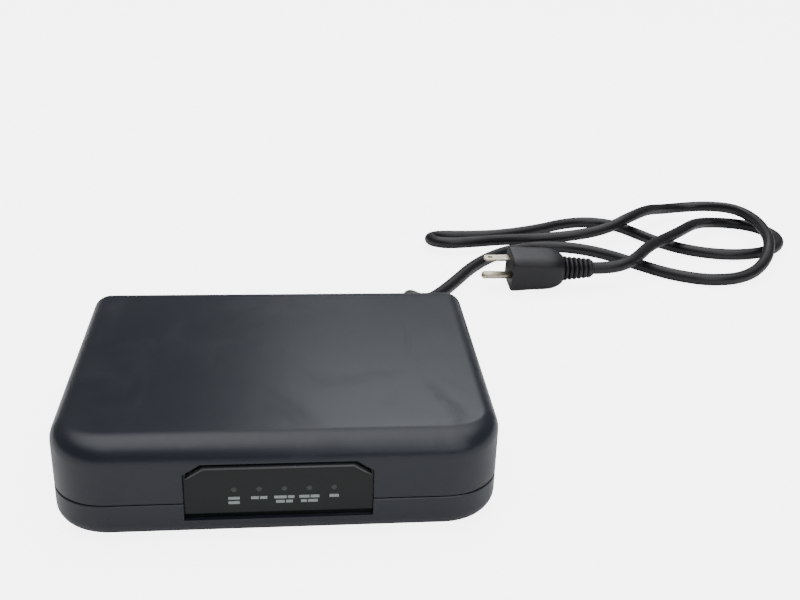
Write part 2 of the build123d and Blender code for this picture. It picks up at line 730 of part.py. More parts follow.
def supply_wires():
    """Low-voltage wires that bridge the gap between the two boards."""
    wires = []
    for step in range(4):
        y = -4 + step * 3.4
        z = BOARD_TOP + 8
        points = [(24.5, y, z), (24.5, y, z + 5), (40.5, y, z + 5), (40.5, y, z)]
        wires.append(route(points, [3.0, 3.0], 1.4))
    return group(wires)


# ---- Mains lead ---------------------------------------------------------------------------
CORD_POINTS = [
    (75, 106, 24),
    (75, 120, 24),
    (78, 134, 19),
    (85, 147, 11),
    (94, 160, 5.5),
    (104, 175, 4.4),
    (117, 196, 4.4),
    (131, 220, 4.4),
    (148, 241, 4.4),
    (167, 256, 4.4),
    (190, 264, 4.4),
    (215, 261, 4.4),
    (236, 247, 4.4),
    (253, 225, 4.4),
    (271, 204, 4.4),
    (296, 192, 4.4),
    (324, 198, 4.6),
    (346, 217, 9),
    (359, 242, 15.8),
    (366, 268, 16),
    (370, 294, 16),
    (366, 321, 15.8),
    (352, 341, 12),
    (332, 347, 9),
    (311, 338, 10),
    (291, 319, 15.8),
    (268, 297, 16),
    (246, 283, 11),
    (219, 277, 8),
    (190, 279, 5),
    (163, 273, 6.5),
    (140, 264, 8),
    (121, 261, 8),
    (111, 266, 7.6),
    (108, 276, 6.6),
    (116, 286, 5.2),
    (140, 287, 4.4),
    (166, 290, 4.4),
    (197, 302, 4.4),
    (223, 318, 4.4),
    (246, 322, 4.4),
    (264, 312, 4.4),
    (275, 292, 4.4),
    (286, 270, 4.4),
    (303, 253, 4.4),
    (325, 244, 4.4),
    (348, 245, 4.4),
    (368, 254, 4.4),
    (382, 270, 4.4),
    (386, 291, 4.4),
    (378, 310, 4.4),
    (360, 319, 4.4),
    (341, 312, 7),
    (326, 296, 12),
    (312, 279, 15.8),
    (297, 263, 16),
    (280, 247, 16),
    (262, 231, 16),
    (246, 208, 16),
    (235, 198, 15),
    (222, 194, 13.6),
    (210, 194, 13.6),
]


def corner_radii(points):
    """Each corner's largest radius: 0.45 of its shorter run over the tangent of half its turn."""
    radii = []
    for before, here, after in zip(points, points[1:], points[2:]):
        a = Vector(*here) - Vector(*before)
        b = Vector(*after) - Vector(*here)
        turn = math.radians(a.get_angle(b))
        radii.append(0.45 * min(a.length, b.length) / math.tan(turn / 2))
    return radii


def power_cord():
    radii = corner_radii(CORD_POINTS)
    print("cord radii", [round(r) for r in radii])
    path = FilletPolyline(*CORD_POINTS, radius=radii)
    length = path.length
    wire = Wire(path.edges())
    section = Plane(origin=wire @ 0, z_dir=wire % 0) * Circle(CORD_DIAMETER / 2)
    tube = sweep(section, path=wire)
    expected = math.pi * CORD_DIAMETER**2 / 4 * length
    print("cord length", round(length, 1), "volume", round(tube.volume), "expected", round(expected))
    return tube


def rolled(shape):
    """The shape turned about the plug's own axis, as the plug lies."""
    return Pos(0, PLUG_Y, PLUG_Z) * Rot(PLUG_ROLL, 0, 0) * Pos(0, -PLUG_Y, -PLUG_Z) * shape


def plug_body():
    """Moulded grip: a rounded block that steps down to the relief."""
    face = Plane(origin=(PLUG_FACE_X, PLUG_Y, PLUG_Z), x_dir=(0, 1, 0), z_dir=(1, 0, 0))
    sections = [
        (0.0, 25.0, 24.4, 4.5),
        (3.0, 26.0, 25.0, 5.5),
        (24.0, 25.2, 24.0, 6.5),
        (PLUG_BODY - 4, 23.0, 21.6, 7.5),
        (PLUG_BODY, 18.6, 18.0, 8.4),
    ]
    faces = []
    for along, wide, high, corner in sections:
        faces.append(face.offset(along) * RectangleRounded(wide, high, corner))
    return rolled(loft(faces, ruled=True))


def plug_relief():
    """Ribbed sleeve between the plug's body and the cord."""
    x0 = PLUG_FACE_X + PLUG_BODY
    x1 = x0 + PLUG_RELIEF
    core = Pos((x0 + x1) / 2, PLUG_Y, PLUG_Z) * Rot(0, 90, 0) * Cone(6.4, 5.2, x1 - x0)
    rings = []
    for step in range(RELIEF_RINGS):
        x = x0 + 0.8 + step * RELIEF_PITCH
        radius = 8.4 - step * 0.35
        rings.append(along_x(PLUG_Y, PLUG_Z, x, x + 2.0, 2 * radius))
    return joined([core] + rings)


def plug_blades():
    length, wide, thick = BLADE
    x0 = PLUG_FACE_X - length
    y = PLUG_Y + PIN_SHIFT
    blades = []
    for side in (-1, 1):
        z = PLUG_Z + side * BLADE_SPACING / 2
        blade = block(x0, PLUG_FACE_X, y - wide / 2, y + wide / 2, z - thick / 2, z + thick / 2)
        ends = blade.edges().filter_by(Axis.Z).group_by(Axis.X)[0]
        blade = chamfer(ends, 1.2)
        blades.append(blade - upright(x0 + 4.2, y, z - 2, z + 2, 3.0))
    return rolled(group(blades))


def plug_ground_pin():
    length, diameter = GROUND_PIN
    y = PLUG_Y + PIN_SHIFT - GROUND_OFFSET
    x0 = PLUG_FACE_X - length
    pin = along_x(y, PLUG_Z, x0 + diameter / 2, PLUG_FACE_X, diameter)
    nose = Pos(x0 + diameter / 2, y, PLUG_Z) * Sphere(diameter / 2)
    return rolled(pin + nose)


PARTS = [
    top_cover, bottom_case, front_window, rear_panel, rubber_feet, case_screws, board_screws,
    main_board, tuner_shield_base, tuner_shield_lid, coax_socket, coax_insulator, coax_contact,
    ethernet_socket, ethernet_contacts, usb_socket, usb_tongue, reset_switch, reset_button,
    modem_chip, thermal_pad, heat_sink, memory_chips, chip_legs, clock_crystal, board_capacitors,
    line_transformer, indicator_leds, light_guide, power_board, insulating_sheet, mains_header,
    mains_wires, cord_inner_end, cord_bushing, fuse_tube, fuse_clips, mains_choke_core,
    mains_choke_windings, bulk_capacitor, rectifier_bridge, transformer_core,
    transformer_winding, transformer_bobbin, power_transistor, transistor_heat_sink,
    output_capacitors, output_header, supply_header, supply_wires, power_cord, plug_body,
    plug_relief, plug_blades, plug_ground_pin,
]

os.makedirs("parts", exist_ok=True)
for make in PARTS:
    save(Pos(0, MIDDLE, 0) * make(), make.__name__)
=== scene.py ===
# %% [markdown]
# # Cable modem with a captive mains lead
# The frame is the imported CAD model: it says where every part is. This file gives the parts their
# finished surfaces and materials. New shapes are surfaces worked out with numpy, as whole arrays,
# and each one takes its place from the CAD part that it stands for.

# %% Load the frame and keep its box
import json
import math

import bpy
import numpy as np
from mathutils import Matrix, Vector


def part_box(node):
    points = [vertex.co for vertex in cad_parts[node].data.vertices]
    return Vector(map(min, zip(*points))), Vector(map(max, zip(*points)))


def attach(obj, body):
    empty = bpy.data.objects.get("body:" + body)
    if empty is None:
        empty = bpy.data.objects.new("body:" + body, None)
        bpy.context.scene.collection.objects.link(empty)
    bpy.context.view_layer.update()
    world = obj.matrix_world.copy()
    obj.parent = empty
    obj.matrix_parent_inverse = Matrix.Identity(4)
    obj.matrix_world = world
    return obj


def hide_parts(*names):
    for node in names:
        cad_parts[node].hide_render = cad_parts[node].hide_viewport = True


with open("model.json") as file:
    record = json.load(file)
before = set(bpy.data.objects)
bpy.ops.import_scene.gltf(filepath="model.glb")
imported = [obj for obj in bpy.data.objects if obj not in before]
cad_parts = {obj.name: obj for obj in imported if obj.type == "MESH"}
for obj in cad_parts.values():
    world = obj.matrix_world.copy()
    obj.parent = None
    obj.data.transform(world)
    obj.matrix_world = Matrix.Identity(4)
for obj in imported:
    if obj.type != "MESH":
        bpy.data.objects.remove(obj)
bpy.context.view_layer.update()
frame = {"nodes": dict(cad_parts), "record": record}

MM = 0.001


def corners_of(node):
    """The lowest and the highest corner of a node's box, as arrays."""
    low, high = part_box(node)
    return np.array(low), np.array(high)


# %% [markdown]
# ## Measures that the pieces share
# A node's box is the safest place to read a size from, because it follows the CAD. The radii of
# edges and corners can't be read from a box, so they are named here once, in metres.

# %% Read the housing's sizes from the frame
top_low, top_high = corners_of("top_cover")
base_low, _ = corners_of("bottom_case")
window_low, window_high = corners_of("front_window")
panel_low, panel_high = corners_of("rear_panel")
MIDDLE_Y = float(top_low[1] + top_high[1]) / 2
HALF_WIDTH = 98 * MM
HALF_DEPTH = float(top_high[1] - top_low[1]) / 2
TAPER = 5 * MM
ROOF = top_high[2]
FLOOR = base_low[2]
SEAM_TOP = top_low[2]
SEAM_BASE = SEAM_TOP - 0.4 * MM
WALL = 2.2 * MM
FIT = 0.2 * MM
FRONT_CORNER = 25 * MM
BACK_CORNER = 9 * MM
NOSE = 11 * MM
TOP_EDGE = 8 * MM
BOTTOM_EDGE = 7 * MM
WINDOW_LAP = 1.4 * MM
PANEL_LAP = 1.6 * MM
print("housing", 2 * HALF_WIDTH, 2 * HALF_DEPTH, ROOF, "middle at y", MIDDLE_Y)

# %% [markdown]
# ## The camera
# A camera is three unit directions in the columns of a matrix: right, up and backwards. They could
# come from Euler angles, but building them from yaw, pitch and roll keeps each of them readable.

# %% Camera
CAMERA_PLACE = (0.0057, -0.4267 + MIDDLE_Y, 0.2526)
CAMERA_PITCH = math.radians(22.7)
CAMERA_YAW = math.radians(6.7)
CAMERA_ROLL = math.radians(2.1)
CAMERA_LENS = 45.0


def camera_directions(yaw, pitch, roll):
    """Right, up and forward: forward is turned by yaw and dipped by pitch, then the other two roll."""
    forward = np.array([math.sin(yaw) * math.cos(pitch), math.cos(yaw) * math.cos(pitch), -math.sin(pitch)])
    level = np.array([math.cos(yaw), -math.sin(yaw), 0.0])
    upright = np.cross(level, forward)
    right = math.cos(roll) * level + math.sin(roll) * upright
    up = math.cos(roll) * upright - math.sin(roll) * level
    return right, up, forward


def new_object(name, data):
    """An object at the origin, linked to the scene."""
    item = bpy.data.objects.new(name, data)
    bpy.context.scene.collection.objects.link(item)
    return item


def make_camera():
    data = bpy.data.cameras.new("camera")
    data.lens = CAMERA_LENS
    data.sensor_width = 36.0
    data.clip_start = 0.01
    camera = new_object("camera", data)
    right, up, forward = camera_directions(CAMERA_YAW, CAMERA_PITCH, CAMERA_ROLL)
    turn = Matrix((right, up, -forward)).transposed().to_4x4()
    camera.matrix_world = Matrix.Translation(CAMERA_PLACE) @ turn
    bpy.context.scene.camera = camera
    return camera


camera = make_camera()
print("camera at", tuple(round(v, 3) for v in camera.location))

# %% [markdown]
# ## The mains lead
# The lead is one length of flexible cord, so it is one open curve. A NURBS spline of order 3 takes
# the listed points as its control points and rounds every corner by itself. The order and the
# end-point setting go in after the points, because before that they have nothing to act on.

# %% Mains lead
CORD_DIAMETER = 8.4 * MM
CORD_POINTS = [
    (75, 106, 24), (75, 120, 24), (78, 134, 19), (85, 147, 11), (94, 160, 5.5),
    (104, 175, 4.4), (117, 196, 4.4), (131, 220, 4.4), (148, 241, 4.4), (167, 256, 4.4),
    (190, 264, 4.4), (215, 261, 4.4), (236, 247, 4.4), (253, 225, 4.4), (271, 204, 4.4),
    (296, 192, 4.4), (324, 198, 4.6), (346, 217, 9), (359, 242, 15.8), (366, 268, 16),
    (370, 294, 16), (366, 321, 15.8), (352, 341, 12), (332, 347, 9), (311, 338, 10),
    (291, 319, 15.8), (268, 297, 16), (246, 283, 11), (219, 277, 8), (190, 279, 5),
    (163, 273, 6.5), (140, 264, 8), (121, 261, 8), (111, 266, 7.6), (108, 276, 6.6),
    (116, 286, 5.2), (140, 287, 4.4), (166, 290, 4.4), (197, 302, 4.4), (223, 318, 4.4),
    (246, 322, 4.4), (264, 312, 4.4), (275, 292, 4.4), (286, 270, 4.4), (303, 253, 4.4),
    (325, 244, 4.4), (348, 245, 4.4), (368, 254, 4.4), (382, 270, 4.4), (386, 291, 4.4),
    (378, 310, 4.4), (360, 319, 4.4), (341, 312, 7), (326, 296, 12), (312, 279, 15.8),
    (297, 263, 16), (280, 247, 16), (262, 231, 16), (246, 208, 16), (235, 198, 15),
    (222, 194, 13.6), (210, 194, 13.6),
]


def make_lead():
    """One open spline through the route. The cord's radius is that of its points, times a bevel of 1,
    which keeps the curve's own bounding box as close as the cord is thick."""
    points = np.array(CORD_POINTS, float) * MM + (0.0, MIDDLE_Y, 0.0)
    data = bpy.data.curves.new("mains_lead", "CURVE")
    data.dimensions = "3D"
    spline = data.splines.new("NURBS")
    spline.points.add(len(points) - 1)
    spline.points.foreach_set("co", np.c_[points, np.ones(len(points))].ravel())
    spline.points.foreach_set("radius", np.full(len(points), CORD_DIAMETER / 2))
    spline.order_u = 3
    spline.use_endpoint_u = True
    spline.use_smooth = True
    data.resolution_u = 10
    data.bevel_depth = 1.0
    data.bevel_resolution = 7
    data.use_fill_caps = True
    lead = new_object("mains_lead", data)
    return lead, tuple(points[0])


mains_lead, LEAD_EXIT = make_lead()
print("lead leaves the strain relief at", tuple(round(v, 4) for v in LEAD_EXIT))

# %% [markdown]
# ## Surfaces from rings
# Almost every moulded piece here is a closed stack of rings: the same number of points in each
# ring, one ring after another from a pole on one side to a pole on the other. Such a surface could
# be modelled by hand with loops and extrusions, but worked out as an array of rings by points it
# keeps its formula in view, and it is closed by construction.

# %% Mesh helpers
def add_mesh(name, points, faces, smooth=True):
    """A mesh object at the origin, from a table of points and a list of tables of faces."""
    mesh = bpy.data.meshes.new(name)
    mesh.from_pydata(points, [], [tuple(face) for table in faces for face in table.tolist()])
    mesh.polygons.foreach_set("use_smooth", np.full(len(mesh.polygons), smooth))
    mesh.update()
    piece = new_object(name, mesh)
    return piece


def enclosed_volume(points, tables):
    """Sum over triangles of the corner vectors' triple product, over 6: positive if faces look out."""
    total = 0.0
    for table in tables:
        for step in range(1, table.shape[1] - 1):
            a, b, c = points[table[:, 0]], points[table[:, step]], points[table[:, step + 1]]
            total += float(np.einsum("ij,ij->i", a, np.cross(b, c)).sum()) / 6
    return total


def facing_out(points, tables):
    """The same points, with every face turned over if they look inwards."""
    if enclosed_volume(points - points.mean(axis=0), tables) < 0:
        tables = [table[:, ::-1] for table in tables]
    return points, tables


def ring_solid(rings, first_pole, last_pole):
    """Points and faces of a stack of rings (rings, points, 3), closed by a fan at each pole."""
    count, around = rings.shape[:2]
    points = np.concatenate([rings.reshape(-1, 3), [first_pole, last_pole]])
    row = np.arange(count - 1)[:, None] * around
    here = np.arange(around)[None, :]
    after = (here + 1) % around
    quads = np.stack([row + here, row + after, row + around + after, row + around + here], axis=-1)
    here, after = here[0], after[0]
    last = (count - 1) * around
    start = np.stack([after, here, np.full(around, count * around)], axis=1)
    end = np.stack([last + here, last + after, np.full(around, count * around + 1)], axis=1)
    return facing_out(points, [quads.reshape(-1, 4), start, end])


def ring_loop(rings):
    """Points and faces of a closed loop of rings: the last one joins the first, as round a washer."""
    count, around = rings.shape[:2]
    row = np.arange(count)[:, None]
    here = np.arange(around)[None, :]
    below, after = (row + 1) % count, (here + 1) % around
    corners = [(row, here), (row, after), (below, after), (below, here)]
    quads = np.stack([ring * around + spot for ring, spot in corners], axis=-1).reshape(-1, 4)
    return facing_out(rings.reshape(-1, 3), [quads])


def together(solids):
    """Several solids as one table of points and one list of face tables."""
    points, tables, first = [], [], 0
    for solid_points, solid_tables in solids:
        points.append(solid_points)
        tables.extend(table + first for table in solid_tables)
        first += len(solid_points)
    return np.concatenate(points), tables


def point_attribute(piece, name, values):
    attribute = piece.data.attributes.new(name, "FLOAT", "POINT")
    attribute.data.foreach_set("value", np.asarray(values, np.float32))


def soften(piece, width, angle=32):
    """Round the sharp edges a little, and weight the normals so that flat faces stay flat."""
    piece.data.set_sharp_from_angle(angle=math.radians(angle))
    bevel = piece.modifiers.new("rounded edges", "BEVEL")
    bevel.width = width
    bevel.segments = 2
    bevel.limit_method = "ANGLE"
    bevel.angle_limit = math.radians(angle)
    bevel.harden_normals = False
    weigh = piece.modifiers.new("even shading", "WEIGHTED_NORMAL")
    weigh.keep_sharp = False
    return piece


print("mesh helpers ready")

# %% [markdown]
# ## Cutting openings
# A moulding gets its windows and slots from steel that shuts off in the tool. Here a closed cutter
# is subtracted by a Boolean, and the result is taken as the piece's own mesh. The other way is to
# plan the holes into the grid, which makes every ring follow them.

# %% Cutters
def prism(outline, low, high, axis):
    """A flat outline swept along one axis: 1 sweeps an (x, z) outline along Y, 2 an (x, y) one along Z."""
    outline = np.asarray(outline, float)
    rings = np.empty((2, len(outline), 3))
    across = [0, 2] if axis == 1 else [0, 1]
    rings[:, :, across] = outline
    rings[0, :, axis] = low
    rings[1, :, axis] = high
    first, last = rings[0].mean(axis=0), rings[1].mean(axis=0)
    return ring_solid(rings, first, last)


def disc(x, y, radius, count=32):
    """Points round a circle: the middle plus the radius times (cosine, sine) of even angles."""
    angle = np.linspace(0, 2 * np.pi, count, endpoint=False)
    return np.stack([x + radius * np.cos(angle), y + radius * np.sin(angle)], axis=1)


def slot_outline(x, y, length, width, count=12):
    """A slot along Y: two half circles, each half a length less half a width off the middle."""
    angle = np.linspace(0, np.pi, count)
    half = (length - width) / 2
    far = np.stack([x + width / 2 * np.cos(angle), y + half + width / 2 * np.sin(angle)], axis=1)
    near = np.stack([x - width / 2 * np.cos(angle), y - half - width / 2 * np.sin(angle)], axis=1)
    return np.concatenate([far, near])


def box_outline(x0, x1, y0, y1):
    return np.array([(x0, y0), (x1, y0), (x1, y1), (x0, y1)])


def cut(piece, solids):
    """Subtract the solids from the piece, and keep the result as its mesh."""
    points, tables = together(solids)
    cutter = add_mesh("cutter", points, tables, smooth=False)
    tool = piece.modifiers.new("cut", "BOOLEAN")
    tool.operation = "DIFFERENCE"
    tool.solver = "EXACT"
    tool.object = cutter
    bpy.context.view_layer.update()
    result = bpy.data.meshes.new_from_object(piece.evaluated_get(bpy.context.evaluated_depsgraph_get()))
    piece.modifiers.clear()
    piece.data = result
    bpy.data.objects.remove(cutter)
    print(piece.name, "has", len(result.polygons), "faces after cutting")


def places_of(node):
    """The middle of each loose solid in a node, seen from above: points within 16 mm belong together."""
    mesh = frame["nodes"][node].data
    corners = np.empty(len(mesh.vertices) * 3)
    mesh.vertices.foreach_get("co", corners)
    left = corners.reshape(-1, 3)[:, :2]
    places = []
    while len(left):
        near = np.linalg.norm(left - left[0], axis=1) < 16 * MM
        group = left[near]
        places.append((group.min(axis=0) + group.max(axis=0)) / 2)
        left = left[~near]
    return places


print("case screws at", [tuple(np.round(place, 4)) for place in places_of("case_screws")])

# %% [markdown]
# ## The housing's two halves
# The housing is two injection mouldings that meet at a fine groove. Seen from above it is a
# rectangle that narrows towards the front, with big front corners. A wall goes up from that
# outline, rolls over by a radius and turns into the roof, and the same line moved inwards by the
# wall's thickness is the inside. The roll is bigger at the front than at the sides, so the radius
# changes with the direction that the outline faces.

# %% The outline from above
PER_ARC = 15
PER_SIDE = 13


def plan_outline():
    """Points and outward normals. Each corner's arc is its centre plus its radius times the normal;
    the centre is one radius inside both sides: the solution of n1.c = n1.v - r and n2.c = n2.v - r."""
    tilt = math.atan2(TAPER, 2 * HALF_DEPTH)
    front, back = np.array([0.0, -1.0]), np.array([0.0, 1.0])
    right = np.array([math.cos(tilt), -math.sin(tilt)])
    left = right * (-1, 1)
    near, far = HALF_WIDTH - TAPER, HALF_WIDTH
    corners = [
        ((near, -HALF_DEPTH), front, right, FRONT_CORNER),
        ((far, HALF_DEPTH), right, back, BACK_CORNER),
        ((-far, HALF_DEPTH), back, left, BACK_CORNER),
        ((-near, -HALF_DEPTH), left, front, FRONT_CORNER),
    ]
    arcs = []
    for vertex, before, after, radius in corners:
        sides = np.array([before, after])
        centre = np.linalg.solve(sides, sides @ np.array(vertex) - radius)
        start = math.atan2(before[1], before[0])
        sweep = math.acos(float(before @ after))
        angle = start + np.linspace(0, sweep, PER_ARC)
        normals = np.stack([np.cos(angle), np.sin(angle)], axis=1)
        arcs.append((centre + radius * normals, normals))
    points, normals = [], []
    for (arc, turn), (following, _) in zip(arcs, arcs[1:] + arcs[:1]):
        along = np.linspace(0, 1, PER_SIDE + 2)[1:-1, None]
        points += [arc, arc[-1] + along * (following[0] - arc[-1])]
        normals += [turn, np.repeat(turn[-1:], PER_SIDE, axis=0)]
    return np.concatenate(points), np.concatenate(normals)


OUTLINE, OUTWARD = plan_outline()
FRONTNESS = np.clip(-OUTWARD[:, 1], 0, 1) ** 2
ROLL = TOP_EDGE + (NOSE - TOP_EDGE) * FRONTNESS
print("outline of", len(OUTLINE), "points, roll from", ROLL.min(), "to", ROLL.max())


# %% Rings of the housing
def level_ring(inset, height):
    """The outline moved inwards by inset, at a height; either may differ from point to point."""
    flat = OUTLINE - np.broadcast_to(inset, len(OUTLINE))[:, None] * OUTWARD
    return np.c_[flat + (0.0, MIDDLE_Y), np.broadcast_to(height, len(OUTLINE))]


def rolled_edge(start, radius, height, sign, steps=9):
    """A quarter circle from wall to roof: inset = start + r(1 - cos t), height = h + sign r(sin t - 1)."""
    turns = np.linspace(0, np.pi / 2, steps)
    insets = [start + radius * (1 - np.cos(turn)) for turn in turns]
    heights = [height + sign * radius * (np.sin(turn) - 1) for turn in turns]
    return [level_ring(inset, level) for inset, level in zip(insets, heights)]


def filled(ring, steps=12):
    """Rings shrinking to the middle: a share of the way from the middle out to the ring."""
    middle = ring.mean(axis=0)
    shares = np.linspace(1, 0, steps + 1)[1:-1]
    return [middle + share * (ring - middle) for share in shares], middle


def housing_half(name, lip, roof, sign, radius, seam_steps):
    """Outer skin from the pole down to the lip, the steps of the lip, and the inner skin back up."""
    outer_edge = rolled_edge(0.0, radius, roof, sign)
    outer_fill, outer_pole = filled(outer_edge[-1])
    inner_edge = rolled_edge(WALL, radius - WALL, roof - sign * WALL, sign)
    inner_fill, inner_pole = filled(inner_edge[-1])
    walls = [level_ring(0.0, lip + sign * share * (abs(roof - lip) - radius)) for share in (0.66, 0.33)]
    stack = outer_fill[::-1] + outer_edge[::-1] + walls + seam_steps + inner_edge + inner_fill
    rings = np.array(stack)
    points, tables = ring_solid(rings, outer_pole, inner_pole)
    piece = add_mesh(name, points, tables)
    rub = np.zeros(rings.shape[:2])
    first = len(outer_fill)
    turn = np.linspace(np.pi / 2, 0, len(outer_edge))
    rub[first:first + len(outer_edge)] = np.sin(2 * turn)[:, None]
    rub[first + len(outer_edge) + len(walls)] = 0.6
    point_attribute(piece, "rub", np.append(rub.ravel(), [0, 0]))
    return piece


BREAK = 0.35 * MM
top_steps = [level_ring(0.0, SEAM_TOP + BREAK), level_ring(BREAK, SEAM_TOP), level_ring(WALL, SEAM_TOP)]
top_shell = housing_half("top_shell", SEAM_TOP, ROOF, 1, ROLL, top_steps)
RIM = [
    (0.0, SEAM_BASE - BREAK), (BREAK, SEAM_BASE), (WALL + FIT, SEAM_BASE), (WALL + FIT, SEAM_TOP + 1.6 * MM),
    (WALL + 1.2 * MM, SEAM_TOP + 1.6 * MM), (WALL + 1.2 * MM, SEAM_BASE - 4 * MM), (WALL, SEAM_BASE - 5 * MM),
]
base_steps = [level_ring(inset, height) for inset, height in RIM]
EVEN_ROLL = np.full(len(OUTLINE), BOTTOM_EDGE)
base_shell = housing_half("base_shell", SEAM_BASE, FLOOR, -1, EVEN_ROLL, base_steps)
print("top", len(top_shell.data.polygons), "faces; base", len(base_shell.data.polygons), "faces")

# %% [markdown]
# ## Openings in the housing
# The front has a low window with sloped upper corners and a dark gap over its rim, the back has one
# wide opening for the panel of sockets, and the floor has two rows of slots, four recesses for the
# feet and four pockets for the screws. The window's and the panel's sizes are those of their parts,
# less the lap behind the wall, and the places of the feet and screws are those of their parts too.

# %% Cut the openings
WINDOW_X = window_high[0] - WINDOW_LAP
WINDOW_Z = (window_low[2] + WINDOW_LAP, window_high[2] - WINDOW_LAP)
SLOPE = (7 * MM, 4.5 * MM)
CHANNEL = 0.9 * MM
FRONT_Y = MIDDLE_Y - HALF_DEPTH
BACK_Y = MIDDLE_Y + HALF_DEPTH
VENT_ROWS = (-22 * MM, 2 * MM)
VENT_COUNT, VENT_PITCH, VENT_LONG, VENT_WIDE = 15, 6 * MM, 18 * MM, 2.4 * MM
FOOT_RECESS, SCREW_POCKET = 6.7 * MM, 3.5 * MM


def window_outline(grow):
    x, low, high = WINDOW_X + grow, WINDOW_Z[0] - grow, WINDOW_Z[1] + grow
    across, down = SLOPE
    return [(-x, low), (x, low), (x, high - down), (x - across, high), (across - x, high), (-x, high - down)]


def shadow_gap():
    """The window's upper part, with its top edge and slopes moved up by the gap."""
    x, high, (across, down) = WINDOW_X, WINDOW_Z[1], SLOPE
    middle = sum(WINDOW_Z) / 2
    upper = [(x, high - down), (x - across, high), (across - x, high), (-x, high - down)]
    return [(-x, middle), (x, middle), *[(place, top + CHANNEL) for place, top in upper]]


window_cut = prism(window_outline(0.0), FRONT_Y - 5 * MM, FRONT_Y + WALL + 3 * MM, 1)
opening = [panel_low[0] + PANEL_LAP, panel_high[0] - PANEL_LAP]
opening += [panel_low[2] + PANEL_LAP, panel_high[2] - PANEL_LAP]
panel_cut = prism(box_outline(*opening), BACK_Y - WALL - 3 * MM, BACK_Y + 5 * MM, 1)
window_lap = prism(window_outline(WINDOW_LAP + FIT), FRONT_Y + WALL, window_high[1] + FIT, 1)
slide = box_outline(panel_low[0] - FIT, panel_high[0] + FIT, panel_low[2] - FIT, ROOF)
panel_lap = prism(slide, panel_low[1] - FIT, BACK_Y - WALL, 1)
cut(top_shell, [window_cut, panel_cut])
cut(base_shell, [window_cut, panel_cut])
cut(top_shell, [prism(shadow_gap(), FRONT_Y - 5 * MM, FRONT_Y + WALL + 3 * MM, 1)])
cut(base_shell, [window_lap, panel_lap])

foot_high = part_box("rubber_feet")[1]
head_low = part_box("case_screws")[0]
through = FLOOR + WALL + MM
underside = [prism(disc(*place, FOOT_RECESS, 48), -MM, foot_high[2], 2) for place in places_of("rubber_feet")]
underside += [prism(disc(*place, SCREW_POCKET), -MM, through, 2) for place in places_of("case_screws")]
for row in VENT_ROWS:
    for step in range(VENT_COUNT):
        x = (step - VENT_COUNT // 2) * VENT_PITCH
        underside.append(prism(slot_outline(x, row + MIDDLE_Y, VENT_LONG, VENT_WIDE), -MM, through, 2))
cut(base_shell, underside)
soften(top_shell, 0.3 * MM)
soften(base_shell, 0.3 * MM)

# %% [markdown]
# ## Screw pillars
# Each case screw pulls on a shoulder inside a pillar that stands on the floor, and the boards stand
# on short posts. They are lathe shapes: a radius for each height, turned about an upright axis.

# %% Pillars and posts
AROUND = 32


def lathe_rings(profile, place, axis, around):
    """For each (distance, radius) of the profile, a ring of points round the axis, 0 for X."""
    profile = np.asarray(profile, float)
    angle = np.linspace(0, 2 * np.pi, around, endpoint=False)
    rings = np.empty((len(profile), around, 3))
    first, second = [(1, 2), (2, 0), (0, 1)][axis]
    rings[:, :, axis] = profile[:, :1]
    rings[:, :, first] = profile[:, 1:] * np.cos(angle)
    rings[:, :, second] = profile[:, 1:] * np.sin(angle)
    return rings + np.asarray(place, float)


def turned(profile, place, axis, around=AROUND):
    """A solid lathe shape, closed by a fan at both ends."""
    rings = lathe_rings(profile, place, axis, around)
    return ring_solid(rings, rings[0].mean(axis=0), rings[-1].mean(axis=0))


def tube(profile, place, axis, around=AROUND):
    """A lathe shape with a bore: the profile goes out along the outside and back along the inside."""
    return ring_loop(lathe_rings(profile, place, axis, around))


PILLAR_TOP = 17.8 * MM
SHOULDER = head_low[2] + 1.9 * MM
BOARD_BASE = float(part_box("main_board")[0][2])
inside = FLOOR + WALL - 0.2 * MM
pillar = [(inside, 4.75), (PILLAR_TOP, 4.75), (PILLAR_TOP, 1.7)]
pillar += [(SHOULDER, 1.7), (SHOULDER, 3.5), (inside, 3.5)]
post = [(inside, 3.25), (BOARD_BASE, 3.25), (BOARD_BASE, 1.52), (inside, 1.52)]
scaled = [np.array(profile) * (1, MM) for profile in (pillar, post)]
supports = [tube(scaled[0], (x, y, 0), 2) for x, y in places_of("case_screws")]
supports += [tube(scaled[1], (x, y, 0), 2, 24) for x, y in places_of("board_screws")]
pillars = soften(add_mesh("case_pillars", *together(supports)), 0.2 * MM)
print("pillars and posts:", len(supports))

# %% [markdown]
# ## The indicator window and its marks
# The window is a smoked plate that shows five small lamps, each over a printed name. The names are
# left out: short bars stand for words. The lamps' places come from the LEDs behind the window.

# %% Window, lamps and marks
led_low, led_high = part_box("indicator_leds")
guide_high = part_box("light_guide")[1]
LAMPS = np.linspace(led_low[0] + 1.6 * MM, led_high[0] - 1.6 * MM, 5)
LAMP_Z = guide_high[2] - 1.5 * MM
FACE_Y = window_low[1]
plate = prism(window_outline(WINDOW_LAP), FACE_Y, window_high[1], 1)


